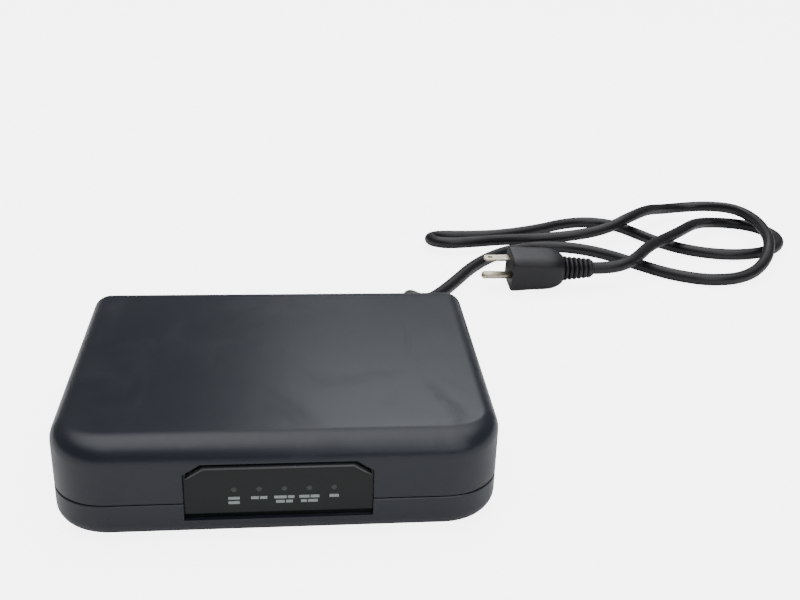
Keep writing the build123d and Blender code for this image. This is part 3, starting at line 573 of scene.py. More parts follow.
def bead(path, y, radius, depth, around=20):
    """A bead along (x, z) points: at each one a blunt oval in the plane that halves the bend, made
    wider there by 1 / cos(half the bend). Along Y it goes as the root of the sine, times the depth."""
    path = np.asarray(path, float)
    run = np.diff(path, axis=0)
    run /= np.linalg.norm(run, axis=1)[:, None]
    across = np.stack([-run[:, 1], run[:, 0]], axis=1)
    bend = np.concatenate([across[:1], across[:-1] + across[1:], across[-1:]])
    bend /= np.linalg.norm(bend, axis=1)[:, None]
    following = np.concatenate([across, across[-1:]])
    bend /= np.sum(bend * following, axis=1)[:, None]
    angle = np.linspace(0, 2 * np.pi, around, endpoint=False)
    rings = np.empty((len(path), around, 3))
    rings[:, :, [0, 2]] = path[:, None, :] + radius * np.cos(angle)[None, :, None] * bend[:, None, :]
    rings[:, :, 1] = y - depth * np.sign(np.sin(angle)) * np.sqrt(np.abs(np.sin(angle)))
    return ring_solid(rings, rings[0].mean(axis=0), rings[-1].mean(axis=0))


UPPER_EDGE = window_outline(-1.2 * MM)[2:]
RIM_Y = (FRONT_Y + 0.1 * MM, FACE_Y + 0.3 * MM)
window_plate = soften(add_mesh("window_plate", *plate), 0.25 * MM)
window_rim = add_mesh("window_rim", *bead(UPPER_EDGE, sum(RIM_Y) / 2, 0.55 * MM, (RIM_Y[1] - RIM_Y[0]) / 2))


def dome(x, z, radius, proud):
    """A low lens: at a share s of its radius it stands out by proud times the root of (1 - s squared)."""
    share = np.sin(np.linspace(np.pi / 2, 0, 6)[:-1])
    profile = [(0.3 * MM, radius)] + [(-proud * math.sqrt(1 - s * s), radius * s) for s in share]
    return turned(profile, (x, FACE_Y, z), 1, 24)


domes = [dome(x, LAMP_Z, 1.25 * MM, 0.25 * MM) for x in LAMPS]
lamp_lenses = add_mesh("indicator_lenses", *together(domes))

LINE = 1.35 * MM
LINE_PITCH = 2.1 * MM
MARKS = [[(4.6,), (4.6,)], [(3.2, 3.0)], [(5.2, 2.6), (3.6, 2.8)], [(4.2, 3.6), (2.4, 4.0)], [(3.9,)]]


def mark_bars():
    """Rows of flat bars, centred under each lamp, with a small gap where a space would be."""
    bars, gap = [], 0.45 * MM
    for x, lines in zip(LAMPS, MARKS):
        for row, widths in enumerate(lines):
            total = sum(widths) * MM + gap * (len(widths) - 1)
            left = x - total / 2
            top = LAMP_Z - 3.4 * MM - row * LINE_PITCH
            for width in widths:
                bar = box_outline(left, left + width * MM, top - LINE, top)
                bars.append(prism(bar, FACE_Y - 0.06 * MM, FACE_Y + 0.1 * MM, 1))
                left += width * MM + gap
    return bars


window_marks = add_mesh("window_marks", *together(mark_bars()), smooth=False)
print("marks:", len(window_marks.data.polygons) // 6, "bars")

# %% [markdown]
# ## The coaxial socket
# It is a nickel-plated barrel with a 32-turns-to-the-inch thread. A thread is a lathe shape whose
# radius depends on the distance and on the angle together, so that the groove climbs as it turns.

# %% Threaded barrel
coax_low, coax_high = corners_of("coax_socket")
COAX_X = float(coax_low[0] + coax_high[0]) / 2
COAX_Z = float(coax_low[2] + coax_high[2]) / 2
TIP_Y = coax_high[1]
THREAD_PITCH = 25.4 / 32 * MM


def threaded_barrel():
    """Radius = major - depth x w, where w is a triangle wave of distance/pitch + angle/turn, faded out
    towards the tip; the bore goes back inside at a constant radius."""
    start = BACK_Y - 6 * MM
    distance = np.linspace(BACK_Y - 1.2 * MM, TIP_Y - 0.5 * MM, 96)
    angle = np.linspace(0, 2 * np.pi, 48, endpoint=False)
    phase = distance[:, None] / THREAD_PITCH + angle[None, :] / (2 * np.pi)
    wave = np.abs(2 * (phase % 1) - 1)
    fade = np.clip((TIP_Y - 0.5 * MM - distance) / THREAD_PITCH, 0, 1)[:, None]
    radius = 4.75 * MM - 0.42 * MM * (1 - (1 - wave) * fade)
    even = np.ones((1, 48)) * MM
    radius = np.concatenate([4.5 * even, radius, 4.0 * even, 3.4 * even, 3.15 * even, 3.15 * even])
    place = np.concatenate([[start], distance, [TIP_Y, TIP_Y, TIP_Y - 0.3 * MM, start]])
    rings = np.empty(radius.shape + (3,))
    rings[:, :, 0] = COAX_X + radius * np.cos(angle)
    rings[:, :, 1] = place[:, None]
    rings[:, :, 2] = COAX_Z + radius * np.sin(angle)
    return ring_loop(rings)


def hexagon(x, z, across):
    angle = np.radians(30 + 60 * np.arange(6))
    return np.stack([x + across * np.cos(angle), z + across * np.sin(angle)], axis=1)


nut_back = panel_low[1]
nut = prism(hexagon(COAX_X, COAX_Z, 6.9 * MM), nut_back - 3.2 * MM, nut_back - 0.05 * MM, 1)
block_back = BACK_Y - WALL - 6 * MM
block = prism(box_outline(COAX_X - 6 * MM, COAX_X + 6 * MM, COAX_Z - 6 * MM, COAX_Z + 6 * MM),
              coax_low[1], block_back, 1)
coax_barrel = add_mesh("coax_barrel", *together([threaded_barrel(), nut, block]))
soften(coax_barrel, 0.12 * MM, angle=50)
print("coaxial socket at x", round(COAX_X, 4), "z", round(COAX_Z, 4), "tip at y", round(TIP_Y, 4))

# %% [markdown]
# ## The plug
# The plug is soft PVC moulded over the contacts: a block with rounded corners that swells a little
# behind its face and steps down to a ribbed sleeve. A rounded rectangle is a smaller rectangle's
# outline moved out by the corner radius, so one set of corner directions serves every ring. The
# plug lies rolled a few degrees on its side, and the rings are turned with it.

# %% Plug body
body_low, body_high = corners_of("plug_body")
sleeve_low, sleeve_high = corners_of("plug_relief")
PLUG_MIDDLE = np.array([0, sleeve_low[1] + sleeve_high[1], sleeve_low[2] + sleeve_high[2]]) / 2
PLUG_FACE = body_low[0]
PLUG_ROLL = math.radians(9)


def rolled(points):
    """Turned about the plug's own axis: y' = y cos - z sin, z' = y sin + z cos, from that axis."""
    y, z = points[..., 1] - PLUG_MIDDLE[1], points[..., 2] - PLUG_MIDDLE[2]
    turn = points.copy()
    turn[..., 1] = PLUG_MIDDLE[1] + y * math.cos(PLUG_ROLL) - z * math.sin(PLUG_ROLL)
    turn[..., 2] = PLUG_MIDDLE[2] + y * math.sin(PLUG_ROLL) + z * math.cos(PLUG_ROLL)
    return turn


def rounded_ring(x, wide, high, corner, per_corner=10, per_side=6):
    """Corner centres at half a side less the radius, plus the radius times each direction."""
    angle = np.radians(np.linspace(0, 90, per_corner)[None, :] + 90 * np.arange(4)[:, None])
    signs = np.array([(1, 1), (-1, 1), (-1, -1), (1, -1)])
    centres = signs * (wide / 2 - corner, high / 2 - corner)
    arcs = centres[:, None, :] + corner * np.stack([np.cos(angle), np.sin(angle)], axis=-1)
    along = np.linspace(0, 1, per_side + 2)[1:-1, None]
    pieces = []
    for step in range(4):
        following = arcs[(step + 1) % 4, 0]
        pieces += [arcs[step], arcs[step, -1] + along * (following - arcs[step, -1])]
    flat = np.concatenate(pieces)
    return np.c_[np.full(len(flat), x), flat + PLUG_MIDDLE[1:]]


def plug_rings():
    """Sections along the plug in millimetres: distance from the face, width, height, corner radius."""
    sections = np.array([
        (0.0, 18.0, 17.6, 3.0), (0.0, 23.4, 22.8, 4.0), (0.25, 24.4, 23.8, 4.4), (0.9, 25.0, 24.4, 4.7),
        (3.0, 25.8, 24.9, 5.4), (9.0, 25.4, 24.5, 5.8), (16.0, 24.9, 24.0, 6.2), (23.0, 25.1, 24.1, 6.5),
        (28.0, 24.8, 23.6, 7.0), (32.0, 23.4, 22.2, 7.6), (34.8, 21.0, 20.2, 8.2), (36.4, 18.8, 18.2, 8.4),
        (37.0, 16.4, 16.2, 8.0), (37.0, 12.0, 12.0, 5.9),
    ]) * MM
    return np.array([rounded_ring(PLUG_FACE + x, wide, high, corner) for x, wide, high, corner in sections])


rings = rolled(plug_rings())
plug_grip = add_mesh("plug_grip", *ring_solid(rings, rings[0].mean(axis=0), rings[-1].mean(axis=0)))
shape = np.zeros(rings.shape[:2])
shape[2:6] = 0.5
point_attribute(plug_grip, "rub", np.append(shape.ravel(), [0, 0]))
subdivide = plug_grip.modifiers.new("smooth", "SUBSURF")
subdivide.levels = subdivide.render_levels = 1
print("plug grip from x", round(PLUG_FACE, 4), "to", round(body_high[0], 4))

# %% [markdown]
# ## Strain reliefs
# A strain relief spreads the bend of a cord. Both of these are a cone with ribs, so that it bends
# more easily towards its thin end. The profile is the cone's radius plus a rib that rises and falls
# as a squared sine, with flat valleys between.

# %% Ribbed sleeves
def ribbed(start, end, thick, thin, ribs, rib, tip):
    """Radius = a straight taper + rib x the sixth root of the squared sine of ribs x pi x share."""
    share = np.linspace(0, 1, ribs * 12 + 1)
    bump = (np.sin(np.pi * ribs * share) ** 2) ** (1 / 3)
    radius = thick + (thin - thick) * share + rib * bump * (1 - 0.45 * share)
    profile = np.stack([start + (end - start) * share, radius], axis=1)
    ends = [(end + tip * 0.6, thin), (end + tip, thin - 0.5 * abs(tip))]
    return np.concatenate([profile, ends])


sleeve = ribbed(sleeve_low[0], sleeve_high[0] - 1.2 * MM, 6.6 * MM, 5.4 * MM, 6, 2.0 * MM, 1.2 * MM)
sleeve = np.concatenate([[(sleeve_low[0] - 0.5 * MM, 6.6 * MM)], sleeve])
plug_sleeve = add_mesh("plug_sleeve", *turned(sleeve, PLUG_MIDDLE, 0, 40))

bush_low, bush_high = corners_of("cord_bushing")
BUSH = np.array([bush_low[0] + bush_high[0], 0, bush_low[2] + bush_high[2]]) / 2
panel_front, panel_back = panel_low[1], panel_high[1]
flange = [
    (bush_low[1], 6.8), (bush_low[1] + 0.5 * MM, 7.75), (panel_front - 0.05 * MM, 7.75),
    (panel_front - 0.05 * MM, 5.9), (panel_back + 0.05 * MM, 5.9), (panel_back + 0.05 * MM, 8.25),
    (panel_back + 2.6 * MM, 8.25), (panel_back + 3.2 * MM, 7.9), (panel_back + 3.5 * MM, 7.0),
]
flange = np.array(flange) * (1, MM)
taper = ribbed(panel_back + 4.4 * MM, bush_high[1] - MM, 6.0 * MM, 5.0 * MM, 7, 1.5 * MM, MM)
cord_sleeve = add_mesh("cord_sleeve", *turned(np.concatenate([flange, taper]), BUSH, 1, 40))
for sleeve_piece in (plug_sleeve, cord_sleeve):
    sleeve_piece.data.set_sharp_from_angle(angle=math.radians(50))
print("sleeves:", len(plug_sleeve.data.polygons), "and", len(cord_sleeve.data.polygons), "faces")

# %% [markdown]
# ## Blades and the ground pin
# The blades are stamped from brass strip and plated: their long edges are slightly rounded, the
# corners of the tip are cut off and a hole goes through near the tip. The pin is a turned rod with a
# bullet nose. Both are short closed shapes that take their sizes from the CAD.

# %% Blades and pin
blade_low, _ = corners_of("plug_blades")
pin_low, _ = corners_of("plug_ground_pin")
BLADE_TIP = blade_low[0]
BLADE_WIDE, BLADE_THICK, BLADE_PITCH = 6.35 * MM, 1.5 * MM, 12.7 * MM
PIN_SHIFT, PIN_OFFSET, PIN_RADIUS = 3.4 * MM, 11.9 * MM, 2.375 * MM
HOLE_FROM_TIP = 4.2 * MM


def blade_outline():
    """From above: the strip's outline with both corners of its tip cut off."""
    half, chip, root = BLADE_WIDE / 2, 1.2 * MM, PLUG_FACE + 2 * MM
    y = PLUG_MIDDLE[1] + PIN_SHIFT
    corners = [(root, -half), (root, half), (BLADE_TIP + chip, half), (BLADE_TIP, half - chip)]
    corners += [(BLADE_TIP, chip - half), (BLADE_TIP + chip, -half)]
    return np.array(corners) + (0, y)


blades = []
for side in (-1, 1):
    z = PLUG_MIDDLE[2] + side * BLADE_PITCH / 2
    blades.append(prism(blade_outline(), z - BLADE_THICK / 2, z + BLADE_THICK / 2, 2))
plug_contacts = add_mesh("plug_contacts", *together(blades), smooth=False)
hole = disc(BLADE_TIP + HOLE_FROM_TIP, PLUG_MIDDLE[1] + PIN_SHIFT, 1.5 * MM, 24)
cut(plug_contacts, [prism(hole, -20 * MM, 60 * MM, 2)])
corners = np.empty(len(plug_contacts.data.vertices) * 3)
plug_contacts.data.vertices.foreach_get("co", corners)
plug_contacts.data.vertices.foreach_set("co", rolled(corners.reshape(-1, 3)).ravel())
soften(plug_contacts, 0.22 * MM)

turns = np.linspace(0.12, np.pi / 2, 9)
nose = [(pin_low[0] + PIN_RADIUS * (1 - math.cos(t)), PIN_RADIUS * math.sin(t)) for t in turns]
pin_points, pin_tables = turned(nose + [(PLUG_FACE + 2 * MM, PIN_RADIUS)],
                                PLUG_MIDDLE + (0, PIN_SHIFT - PIN_OFFSET, 0), 0, 28)
ground_pin = add_mesh("ground_pin", rolled(pin_points), pin_tables)
print("blades reach x", round(BLADE_TIP, 4), "and the pin", round(pin_low[0], 4))

# %% [markdown]
# ## Effects that materials share
# Four effects turn up on most of the finishes: the grain of a moulding, wear where hands and other
# things touch an edge, dust on what faces up, and the fine lines of rolled or drawn metal. Each is a
# node group with named inputs and outputs, built once. A group puts out masks, heights and tones
# only; the shader that they feed stays in the material.

# %% Node helpers
def new_group(name, inputs, outputs):
    tree = bpy.data.node_groups.new(name, "ShaderNodeTree")
    for label, value in inputs.items():
        tree.interface.new_socket(label, in_out="INPUT", socket_type="NodeSocketFloat").default_value = value
    for label in outputs:
        tree.interface.new_socket(label, in_out="OUTPUT", socket_type="NodeSocketFloat")
    return tree, tree.nodes.new("NodeGroupInput"), tree.nodes.new("NodeGroupOutput")


def math_node(tree, operation, first, second=None, clamp=False):
    """A math node whose inputs are numbers or sockets; gives back its output."""
    node = tree.nodes.new("ShaderNodeMath")
    node.operation = operation
    node.use_clamp = clamp
    for socket, value in zip(node.inputs, (first, second)):
        if value is None:
            continue
        if isinstance(value, bpy.types.NodeSocket):
            tree.links.new(value, socket)
        else:
            socket.default_value = value
    return node.outputs[0]


def wire(tree, node, **sources):
    """Link each source to the node's input of that name; an underscore stands for a space."""
    for label, source in sources.items():
        tree.links.new(source, node.inputs[label.replace("_", " ")])


def plus(tree, first, second, clamp=False):
    return math_node(tree, "ADD", first, second, clamp)


def times(tree, first, second, clamp=False):
    return math_node(tree, "MULTIPLY", first, second, clamp)


def noise(tree, scale, detail=2.0, rough=0.5, distortion=0.0, stretch=None):
    """Noise on the piece's own coordinates, stretched by three factors where a lay is wanted."""
    place = tree.nodes.new("ShaderNodeTexCoord").outputs["Object"]
    if stretch:
        mapping = tree.nodes.new("ShaderNodeMapping")
        mapping.inputs["Scale"].default_value = stretch
        tree.links.new(place, mapping.inputs["Vector"])
        place = mapping.outputs["Vector"]
    texture = tree.nodes.new("ShaderNodeTexNoise")
    tree.links.new(place, texture.inputs["Vector"])
    if isinstance(scale, bpy.types.NodeSocket):
        tree.links.new(scale, texture.inputs["Scale"])
    else:
        texture.inputs["Scale"].default_value = scale
    texture.inputs["Detail"].default_value = detail
    texture.inputs["Roughness"].default_value = rough
    texture.inputs["Distortion"].default_value = distortion
    return texture.outputs["Fac"]


def step_between(tree, value, low, high):
    """0 below low, 1 above high, and an even slope between them."""
    node = tree.nodes.new("ShaderNodeMapRange")
    node.interpolation_type = "SMOOTHSTEP"
    tree.links.new(value, node.inputs["Value"])
    node.inputs["From Min"].default_value = low
    node.inputs["From Max"].default_value = high
    return node.outputs["Result"]


print("node helpers ready")


# %% Moulded grain: pits of a spark-eroded tool, and the smears that handling leaves
def make_moulded_grain():
    tree, given, result = new_group("moulded grain", {"Scale": 2400.0}, ["Height", "Smear", "Tone"])
    fine = noise(tree, given.outputs["Scale"], detail=3.0, rough=0.62)
    pits = tree.nodes.new("ShaderNodeTexVoronoi")
    pits.feature = "SMOOTH_F1"
    pits.inputs["Smoothness"].default_value = 0.35
    tree.links.new(tree.nodes.new("ShaderNodeTexCoord").outputs["Object"], pits.inputs["Vector"])
    tree.links.new(times(tree, given.outputs["Scale"], 0.45), pits.inputs["Scale"])
    height = plus(tree, fine, times(tree, pits.outputs["Distance"], 0.6))
    smear = step_between(tree, noise(tree, 26.0, 4.0, 0.55, 1.6, (1.0, 0.45, 1.0)), 0.46, 0.72)
    tone = noise(tree, 13.0, 3.0, 0.5, 0.4)
    wire(tree, result, Height=height, Smear=smear, Tone=tone)
    return tree


# %% Edge rub: where the rub attribute is high, broken up by noise
def make_edge_rub():
    tree, given, result = new_group("edge rub", {"Amount": 0.5}, ["Mask"])
    edge = tree.nodes.new("ShaderNodeAttribute")
    edge.attribute_name = "rub"
    patches = step_between(tree, noise(tree, 90.0, 4.0, 0.65, 0.5), 0.42, 0.7)
    mask = times(tree, edge.outputs["Fac"], patches)
    mask = times(tree, mask, given.outputs["Amount"], clamp=True)
    wire(tree, result, Mask=mask)
    return tree


# %% Settled dust: what faces up, in soft patches and single specks
def make_settled_dust():
    tree, given, result = new_group("settled dust", {"Amount": 0.3}, ["Mask"])
    facing = tree.nodes.new("ShaderNodeSeparateXYZ")
    tree.links.new(tree.nodes.new("ShaderNodeNewGeometry").outputs["Normal"], facing.inputs["Vector"])
    up = step_between(tree, facing.outputs["Z"], 0.3, 1.0)
    haze = step_between(tree, noise(tree, 18.0, 5.0, 0.6, 0.8), 0.4, 0.8)
    specks = step_between(tree, noise(tree, 1500.0, 1.0, 0.5), 0.74, 0.8)
    both = plus(tree, times(tree, haze, 0.5), specks)
    mask = times(tree, times(tree, both, up), given.outputs["Amount"], clamp=True)
    wire(tree, result, Mask=mask)
    return tree


# %% Metal lines: long fine scratches along X, and cloudy tarnish
def make_metal_lines():
    tree, given, result = new_group("metal lines", {"Scale": 900.0}, ["Height", "Tarnish"])
    lines = noise(tree, given.outputs["Scale"], 3.0, 0.6, 0.0, (0.06, 1.0, 1.0))
    tarnish = step_between(tree, noise(tree, 160.0, 4.0, 0.6, 0.7), 0.38, 0.75)
    wire(tree, result, Height=lines, Tarnish=tarnish)
    return tree


MOULDED_GRAIN = make_moulded_grain()
EDGE_RUB = make_edge_rub()
SETTLED_DUST = make_settled_dust()
METAL_LINES = make_metal_lines()
print("node groups:", [tree.name for tree in (MOULDED_GRAIN, EDGE_RUB, SETTLED_DUST, METAL_LINES)])

# %% [markdown]
# ## Finishes
# One function makes every moulded finish and another every metal one. Their numbers are what tells
# the finishes apart: colour, gloss, size of grain, depth of grain, dust and wear. Depth is in metres,
# so a bump of ten micrometres is written as such.

# %% Moulded and metal finishes
def place_group(tree, group, **values):
    node = tree.nodes.new("ShaderNodeGroup")
    node.node_tree = group
    for label, value in values.items():
        node.inputs[label].default_value = value
    return node.outputs


def blend_colour(tree, mask, first, second):
    """The first colour where the mask is 0 and the second where it is 1."""
    node = tree.nodes.new("ShaderNodeMix")
    node.data_type = "RGBA"
    sockets = {socket.identifier: socket for socket in node.inputs}
    tree.links.new(mask, sockets["Factor_Float"])
    for name, value in (("A_Color", first), ("B_Color", second)):
        if isinstance(value, bpy.types.NodeSocket):
            tree.links.new(value, sockets[name])
        else:
            sockets[name].default_value = (*value, 1)
    return next(socket for socket in node.outputs if socket.identifier == "Result_Color")


def new_material(name):
    material = bpy.data.materials.new(name)
    material.use_nodes = True
    return material, material.node_tree, material.node_tree.nodes["Principled BSDF"]


def bump(tree, shader, height, depth):
    node = tree.nodes.new("ShaderNodeBump")
    node.inputs["Distance"].default_value = depth
    node.inputs["Strength"].default_value = 1.0
    tree.links.new(height, node.inputs["Height"])
    tree.links.new(node.outputs["Normal"], shader.inputs["Normal"])


DUST = (0.30, 0.29, 0.27)


def moulded(name, colour, gloss, grain=2400.0, depth=12e-6, dust=0.25, wear=0.4, variety=0.35):
    """Colour varies by variety of itself; roughness = gloss + smears - rub + dust."""
    material, tree, shader = new_material(name)
    surface = place_group(tree, MOULDED_GRAIN, Scale=grain)
    rub = place_group(tree, EDGE_RUB, Amount=wear)["Mask"]
    dusty = place_group(tree, SETTLED_DUST, Amount=dust)["Mask"]
    pale = tuple(min(1.0, channel * (1 + variety) + 0.002) for channel in colour)
    worn = tuple(min(1.0, channel * 1.5 + 0.02) for channel in colour)
    body = blend_colour(tree, surface["Tone"], colour, pale)
    body = blend_colour(tree, rub, body, worn)
    body = blend_colour(tree, dusty, body, DUST)
    rough = plus(tree, times(tree, surface["Smear"], 0.11), gloss)
    rough = math_node(tree, "SUBTRACT", rough, times(tree, rub, 0.12))
    rough = plus(tree, rough, times(tree, dusty, 0.4), clamp=True)
    wire(tree, shader, Base_Color=body, Roughness=rough)
    bump(tree, shader, surface["Height"], depth)
    return material


def metal(name, colour, gloss, stain, lines=900.0, depth=3e-6):
    """Plated or bare metal: drawn lines in the bump and in the roughness, and stained clouds."""
    material, tree, shader = new_material(name)
    surface = place_group(tree, METAL_LINES, Scale=lines)
    body = blend_colour(tree, surface["Tarnish"], colour, stain)
    shader.inputs["Metallic"].default_value = 1.0
    rough = plus(tree, times(tree, surface["Tarnish"], 0.16), gloss)
    rough = plus(tree, rough, times(tree, surface["Height"], 0.08), clamp=True)
    wire(tree, shader, Base_Color=body, Roughness=rough)
    bump(tree, shader, surface["Height"], depth)
    return material


def clear(name, colour, gloss, passing, index):
    """Clear plastic or glass: a plain transmission weight, with handling smears in the roughness."""
    material, tree, shader = new_material(name)
    surface = place_group(tree, MOULDED_GRAIN, Scale=700.0)
    body = blend_colour(tree, surface["Tone"], colour, tuple(0.9 * channel for channel in colour))
    shader.inputs["Transmission Weight"].default_value = passing
    shader.inputs["IOR"].default_value = index
    wire(tree, shader, Base_Color=body, Roughness=plus(tree, times(tree, surface["Smear"], 0.1), gloss))
    bump(tree, shader, surface["Height"], 1e-6)
    return material


print("finish functions ready")


# %% Wound, laminated and printed finishes
def banded(name, colour, gap, pitch, axis, gloss, depth, metallic=0.0):
    """Turns of wire or tape: a saw of the coordinate along an axis, rounded into ridges."""
    material, tree, shader = new_material(name)
    split = tree.nodes.new("ShaderNodeSeparateXYZ")
    tree.links.new(tree.nodes.new("ShaderNodeTexCoord").outputs["Object"], split.inputs["Vector"])
    turn = times(tree, split.outputs[axis], math.pi / pitch)
    ridge = math_node(tree, "ABSOLUTE", math_node(tree, "SINE", turn))
    blotch = times(tree, noise(tree, 220.0, 3.0), 0.2)
    wire(tree, shader, Base_Color=blend_colour(tree, ridge, gap, colour), Roughness=plus(tree, blotch, gloss))
    shader.inputs["Metallic"].default_value = metallic
    bump(tree, shader, ridge, depth)
    return material


def board_finish(name, mask_colour, track_colour, weave):
    """Solder mask over tracks: bricks give the runs of copper, which stand up a little under it."""
    material, tree, shader = new_material(name)
    place = tree.nodes.new("ShaderNodeTexCoord").outputs["Object"]
    tracks = tree.nodes.new("ShaderNodeTexBrick")
    tree.links.new(place, tracks.inputs["Vector"])
    tracks.inputs["Color1"].default_value = (0, 0, 0, 1)
    tracks.inputs["Color2"].default_value = (0, 0, 0, 1)
    tracks.inputs["Mortar"].default_value = (1, 1, 1, 1)
    tracks.inputs["Scale"].default_value = 90.0
    tracks.inputs["Mortar Size"].default_value = 0.035
    fibres = noise(tree, weave, 2.0, 0.5, 0.0, (1.0, 0.3, 1.0))
    plain = blend_colour(tree, fibres, mask_colour, tuple(0.75 * channel for channel in mask_colour))
    body = blend_colour(tree, tracks.outputs["Color"], plain, track_colour)
    wire(tree, shader, Base_Color=body, Roughness=plus(tree, times(tree, fibres, 0.25), 0.22))
    bump(tree, shader, plus(tree, tracks.outputs["Fac"], times(tree, fibres, 0.2)), 20e-6)
    return material


print("wound and laminated finishes ready")

# %% The finish of each material slot
FINISHES = {
    "housing": moulded("satin black moulding", (0.0080, 0.0102, 0.0170), 0.30, 2100.0, 12e-6, 0.04, 0.2),
    "window": moulded("smoked window", (0.0050, 0.0062, 0.0060), 0.07, 900.0, 0.6e-6, 0.02, 0.2),
    "panel": moulded("black panel", (0.012, 0.012, 0.0135), 0.42, 1500.0, 16e-6, 0.05, 0.3),
    "foot_rubber": moulded("foot rubber", (0.018, 0.017, 0.017), 0.72, 900.0, 30e-6, 0.1, 0.2),
    "socket_plastic": moulded("socket moulding", (0.016, 0.016, 0.017), 0.46, 1800.0, 8e-6),
    "white_plastic": moulded("white nylon", (0.72, 0.70, 0.64), 0.42, 1200.0, 10e-6, 0.2, 0.1, 0.05),
    "chip_epoxy": moulded("moulded epoxy", (0.022, 0.022, 0.023), 0.55, 2600.0, 18e-6),
    "pad": moulded("thermal pad", (0.36, 0.40, 0.46), 0.75, 1100.0, 20e-6, 0.1, 0.1, 0.08),
    "can": moulded("capacitor sleeve", (0.020, 0.028, 0.075), 0.24, 700.0, 2e-6),
    "ferrite": moulded("fired ferrite", (0.045, 0.043, 0.044), 0.6, 1300.0, 30e-6),
    "led": clear("lamp lens", (0.62, 0.66, 0.60), 0.12, 0.5, 1.5),
    "clear_guide": clear("clear acrylic", (0.93, 0.95, 0.96), 0.04, 0.9, 1.49),
    "fuse_glass": clear("fuse glass", (0.96, 0.98, 0.97), 0.02, 1.0, 1.5),
    "sheet": moulded("fibre sheet", (0.58, 0.54, 0.42), 0.68, 800.0, 26e-6, 0.1, 0.1, 0.1),
    "wire": moulded("wire insulation", (0.022, 0.021, 0.022), 0.34, 900.0, 5e-6),
    "cord_jacket": moulded("cord jacket", (0.0045, 0.0045, 0.0065), 0.36, 1300.0, 20e-6, 0.03, 0.0),
    "plug_moulding": moulded("plug moulding", (0.0055, 0.0055, 0.0080), 0.42, 1200.0, 24e-6, 0.04, 0.3),
    "screw_steel": metal("zinc-plated steel", (0.52, 0.52, 0.50), 0.30, (0.40, 0.38, 0.34)),
    "tinned_steel": metal("tin plate", (0.64, 0.64, 0.62), 0.26, (0.50, 0.49, 0.46)),
    "nickel": metal("nickel plate", (0.66, 0.64, 0.60), 0.20, (0.52, 0.49, 0.43), 1400.0),
    "contact_metal": metal("gold flash", (0.83, 0.62, 0.27), 0.22, (0.66, 0.46, 0.20)),
    "sink_aluminium": metal("extruded aluminium", (0.72, 0.73, 0.74), 0.34, (0.60, 0.60, 0.60), 600.0, 8e-6),
    "blade_metal": metal("plated brass", (0.68, 0.63, 0.52), 0.24, (0.50, 0.44, 0.32), 1200.0),
    "copper": banded("enamelled wire", (0.52, 0.20, 0.07), (0.16, 0.05, 0.02), 0.6 * MM, "X", 0.28,
                     150e-6, 0.6),
    "tape": banded("polyester tape", (0.72, 0.52, 0.05), (0.60, 0.41, 0.04), 3.2 * MM, "Y", 0.2, 30e-6),
    "board": board_finish("green board", (0.010, 0.085, 0.028), (0.022, 0.15, 0.05), 1500.0),
    "power_laminate": board_finish("paper laminate", (0.34, 0.22, 0.08), (0.26, 0.22, 0.08), 1100.0),
}
smoked = FINISHES["window"].node_tree.nodes["Principled BSDF"]
smoked.inputs["Specular IOR Level"].default_value = 0.35
PRINT = moulded("window print", (0.30, 0.33, 0.32), 0.5, 1500.0, 3e-6, 0.0, 0.3, 0.1)
LENS = moulded("smoked lens", (0.030, 0.034, 0.031), 0.16, 900.0, 1e-6, 0.0, 0.0, 0.3)
# The rim's pale grey is a painted highlight: it stands in for the thin bright line of light along the
# window's upper edge.
RIM_PAINTED_HIGHLIGHT = moulded("rim with painted highlight", (0.055, 0.056, 0.060), 0.2, 900.0, 1e-6, 0.05, 0.0, 0.2)
print(len(FINISHES) + 3, "finishes")

# %% [markdown]
# ## Putting the pieces on their bodies
# Every new piece rides on a body, says which CAD part it stands for and takes that part's finish.
# The CAD parts that stay get the finish of their own slot from the record.

# %% Dress the pieces
NEW_PIECES = [
    (top_shell, ["top_cover"], "housing"),
    (base_shell, ["bottom_case"], "housing"),
    (pillars, [], "housing"),
    (window_plate, ["front_window"], "window"),
    (window_rim, [], "window"),
    (lamp_lenses, [], "led"),
    (coax_barrel, ["coax_socket"], "nickel"),
    (plug_grip, ["plug_body"], "plug_moulding"),
    (plug_sleeve, ["plug_relief"], "plug_moulding"),
    (cord_sleeve, ["cord_bushing"], "cord_jacket"),
    (plug_contacts, ["plug_blades"], "blade_metal"),
    (ground_pin, ["plug_ground_pin"], "blade_metal"),
    (mains_lead, ["power_cord"], "cord_jacket"),
]
for piece, nodes, slot in NEW_PIECES:
    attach(piece, "housing")
    if nodes:
        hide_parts(*nodes)
    piece.data.materials.clear()
    piece.data.materials.append(FINISHES[slot])
lamp_lenses.data.materials[0] = LENS
# The rim takes the pale colour of the painted highlight line.
window_rim.data.materials[0] = RIM_PAINTED_HIGHLIGHT
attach(window_marks, "housing")
window_marks.data.materials.append(PRINT)

for part in frame["record"]["subparts"]:
    mesh = frame["nodes"][part["node"]].data
    mesh.materials.clear()
    mesh.materials.append(FINISHES[part["material_slot"]])

# %% [markdown]
# ## Stage and light
# The stage is a plain pale floor under a white sky. Black plastic shows mostly what it reflects, so
# one broad soft light stands behind the object to draw a long sheen over the roof, and a second one
# in front lifts the face.

# %% Stage and lights
FLOOR_REACH = 6.0
FLOOR_DROP = 0.1 * MM  # just under the feet, so that the two faces don't share a plane
FLOOR_GLOW = 5.0  # for the camera only
SKY_STEP = (0.62, 0.98)  # where the dome turns from dim to bright, by the height of its direction
SKY_DIM = 0.16
SKY_OVERHEAD = 2.4
SKY_GLOW = 5.5  # for the camera only


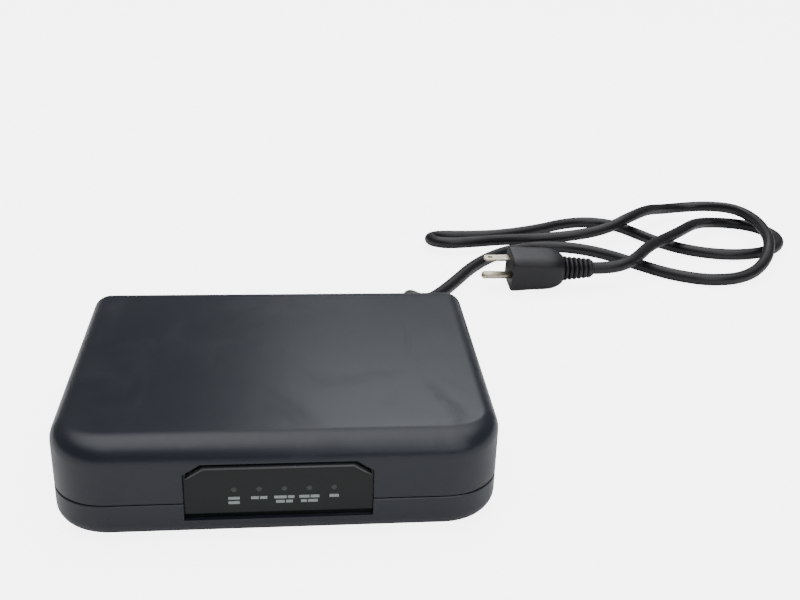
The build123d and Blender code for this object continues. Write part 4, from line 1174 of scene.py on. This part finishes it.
def make_stage():
    data = bpy.data.meshes.new("floor")
    turns = [(-1, -1), (1, -1), (1, 1), (-1, 1)]
    corners = [(FLOOR_REACH * x, FLOOR_REACH * y, -FLOOR_DROP) for x, y in turns]
    data.from_pydata(corners, [], [(0, 1, 2, 3)])
    floor = new_object("floor", data)
    material, tree, shader = new_material("pale floor")
    shader.inputs["Base Color"].default_value = (0.93, 0.93, 0.93, 1)
    shader.inputs["Roughness"].default_value = 0.7
    shader.inputs["Emission Color"].default_value = (1, 1, 1, 1)
    seen = tree.nodes.new("ShaderNodeLightPath").outputs["Is Camera Ray"]
    tree.links.new(times(tree, seen, FLOOR_GLOW), shader.inputs["Emission Strength"])
    below = tree.nodes.new("ShaderNodeNewGeometry").outputs["Backfacing"]
    tree.links.new(math_node(tree, "SUBTRACT", 1.0, below), shader.inputs["Alpha"])
    data.materials.append(material)


def make_light(name, place, aim, size, power, colour):
    data = bpy.data.lights.new(name, "AREA")
    data.shape = "RECTANGLE"
    data.size, data.size_y = size
    data.energy = power
    data.color = colour
    light = new_object(name, data)
    direction = Vector(aim) - Vector(place)
    light.location = place
    light.rotation_euler = direction.to_track_quat("-Z", "Y").to_euler()


def make_sky():
    """A dome that is dim near the horizon and bright overhead, with a soft step between the two."""
    world = bpy.data.worlds.new("soft sky")
    world.use_nodes = True
    tree = world.node_tree
    split = tree.nodes.new("ShaderNodeSeparateXYZ")
    tree.links.new(tree.nodes.new("ShaderNodeTexCoord").outputs["Generated"], split.inputs["Vector"])
    height = step_between(tree, split.outputs["Z"], *SKY_STEP)
    sky = tree.nodes["Background"]
    sky.inputs["Color"].default_value = (0.98, 0.99, 1.0, 1)
    seen = tree.nodes.new("ShaderNodeLightPath").outputs["Is Camera Ray"]
    glow = plus(tree, times(tree, height, SKY_OVERHEAD), SKY_DIM)
    glow = plus(tree, glow, times(tree, seen, SKY_GLOW))
    tree.links.new(glow, sky.inputs["Strength"])
    bpy.context.scene.world = world


make_stage()
make_light("key", (0.35, 1.3, 1.0), (0.03, 0.0, 0.0), (0.8, 0.4), 3, (0.93, 0.96, 1.0))
make_light("fill", (0.5, -1.1, 0.8), (0.05, 0.0, 0.0), (1.0, 1.0), 5, (0.95, 0.97, 1.0))
make_sky()
print("lights:", [item.name for item in bpy.data.lights])
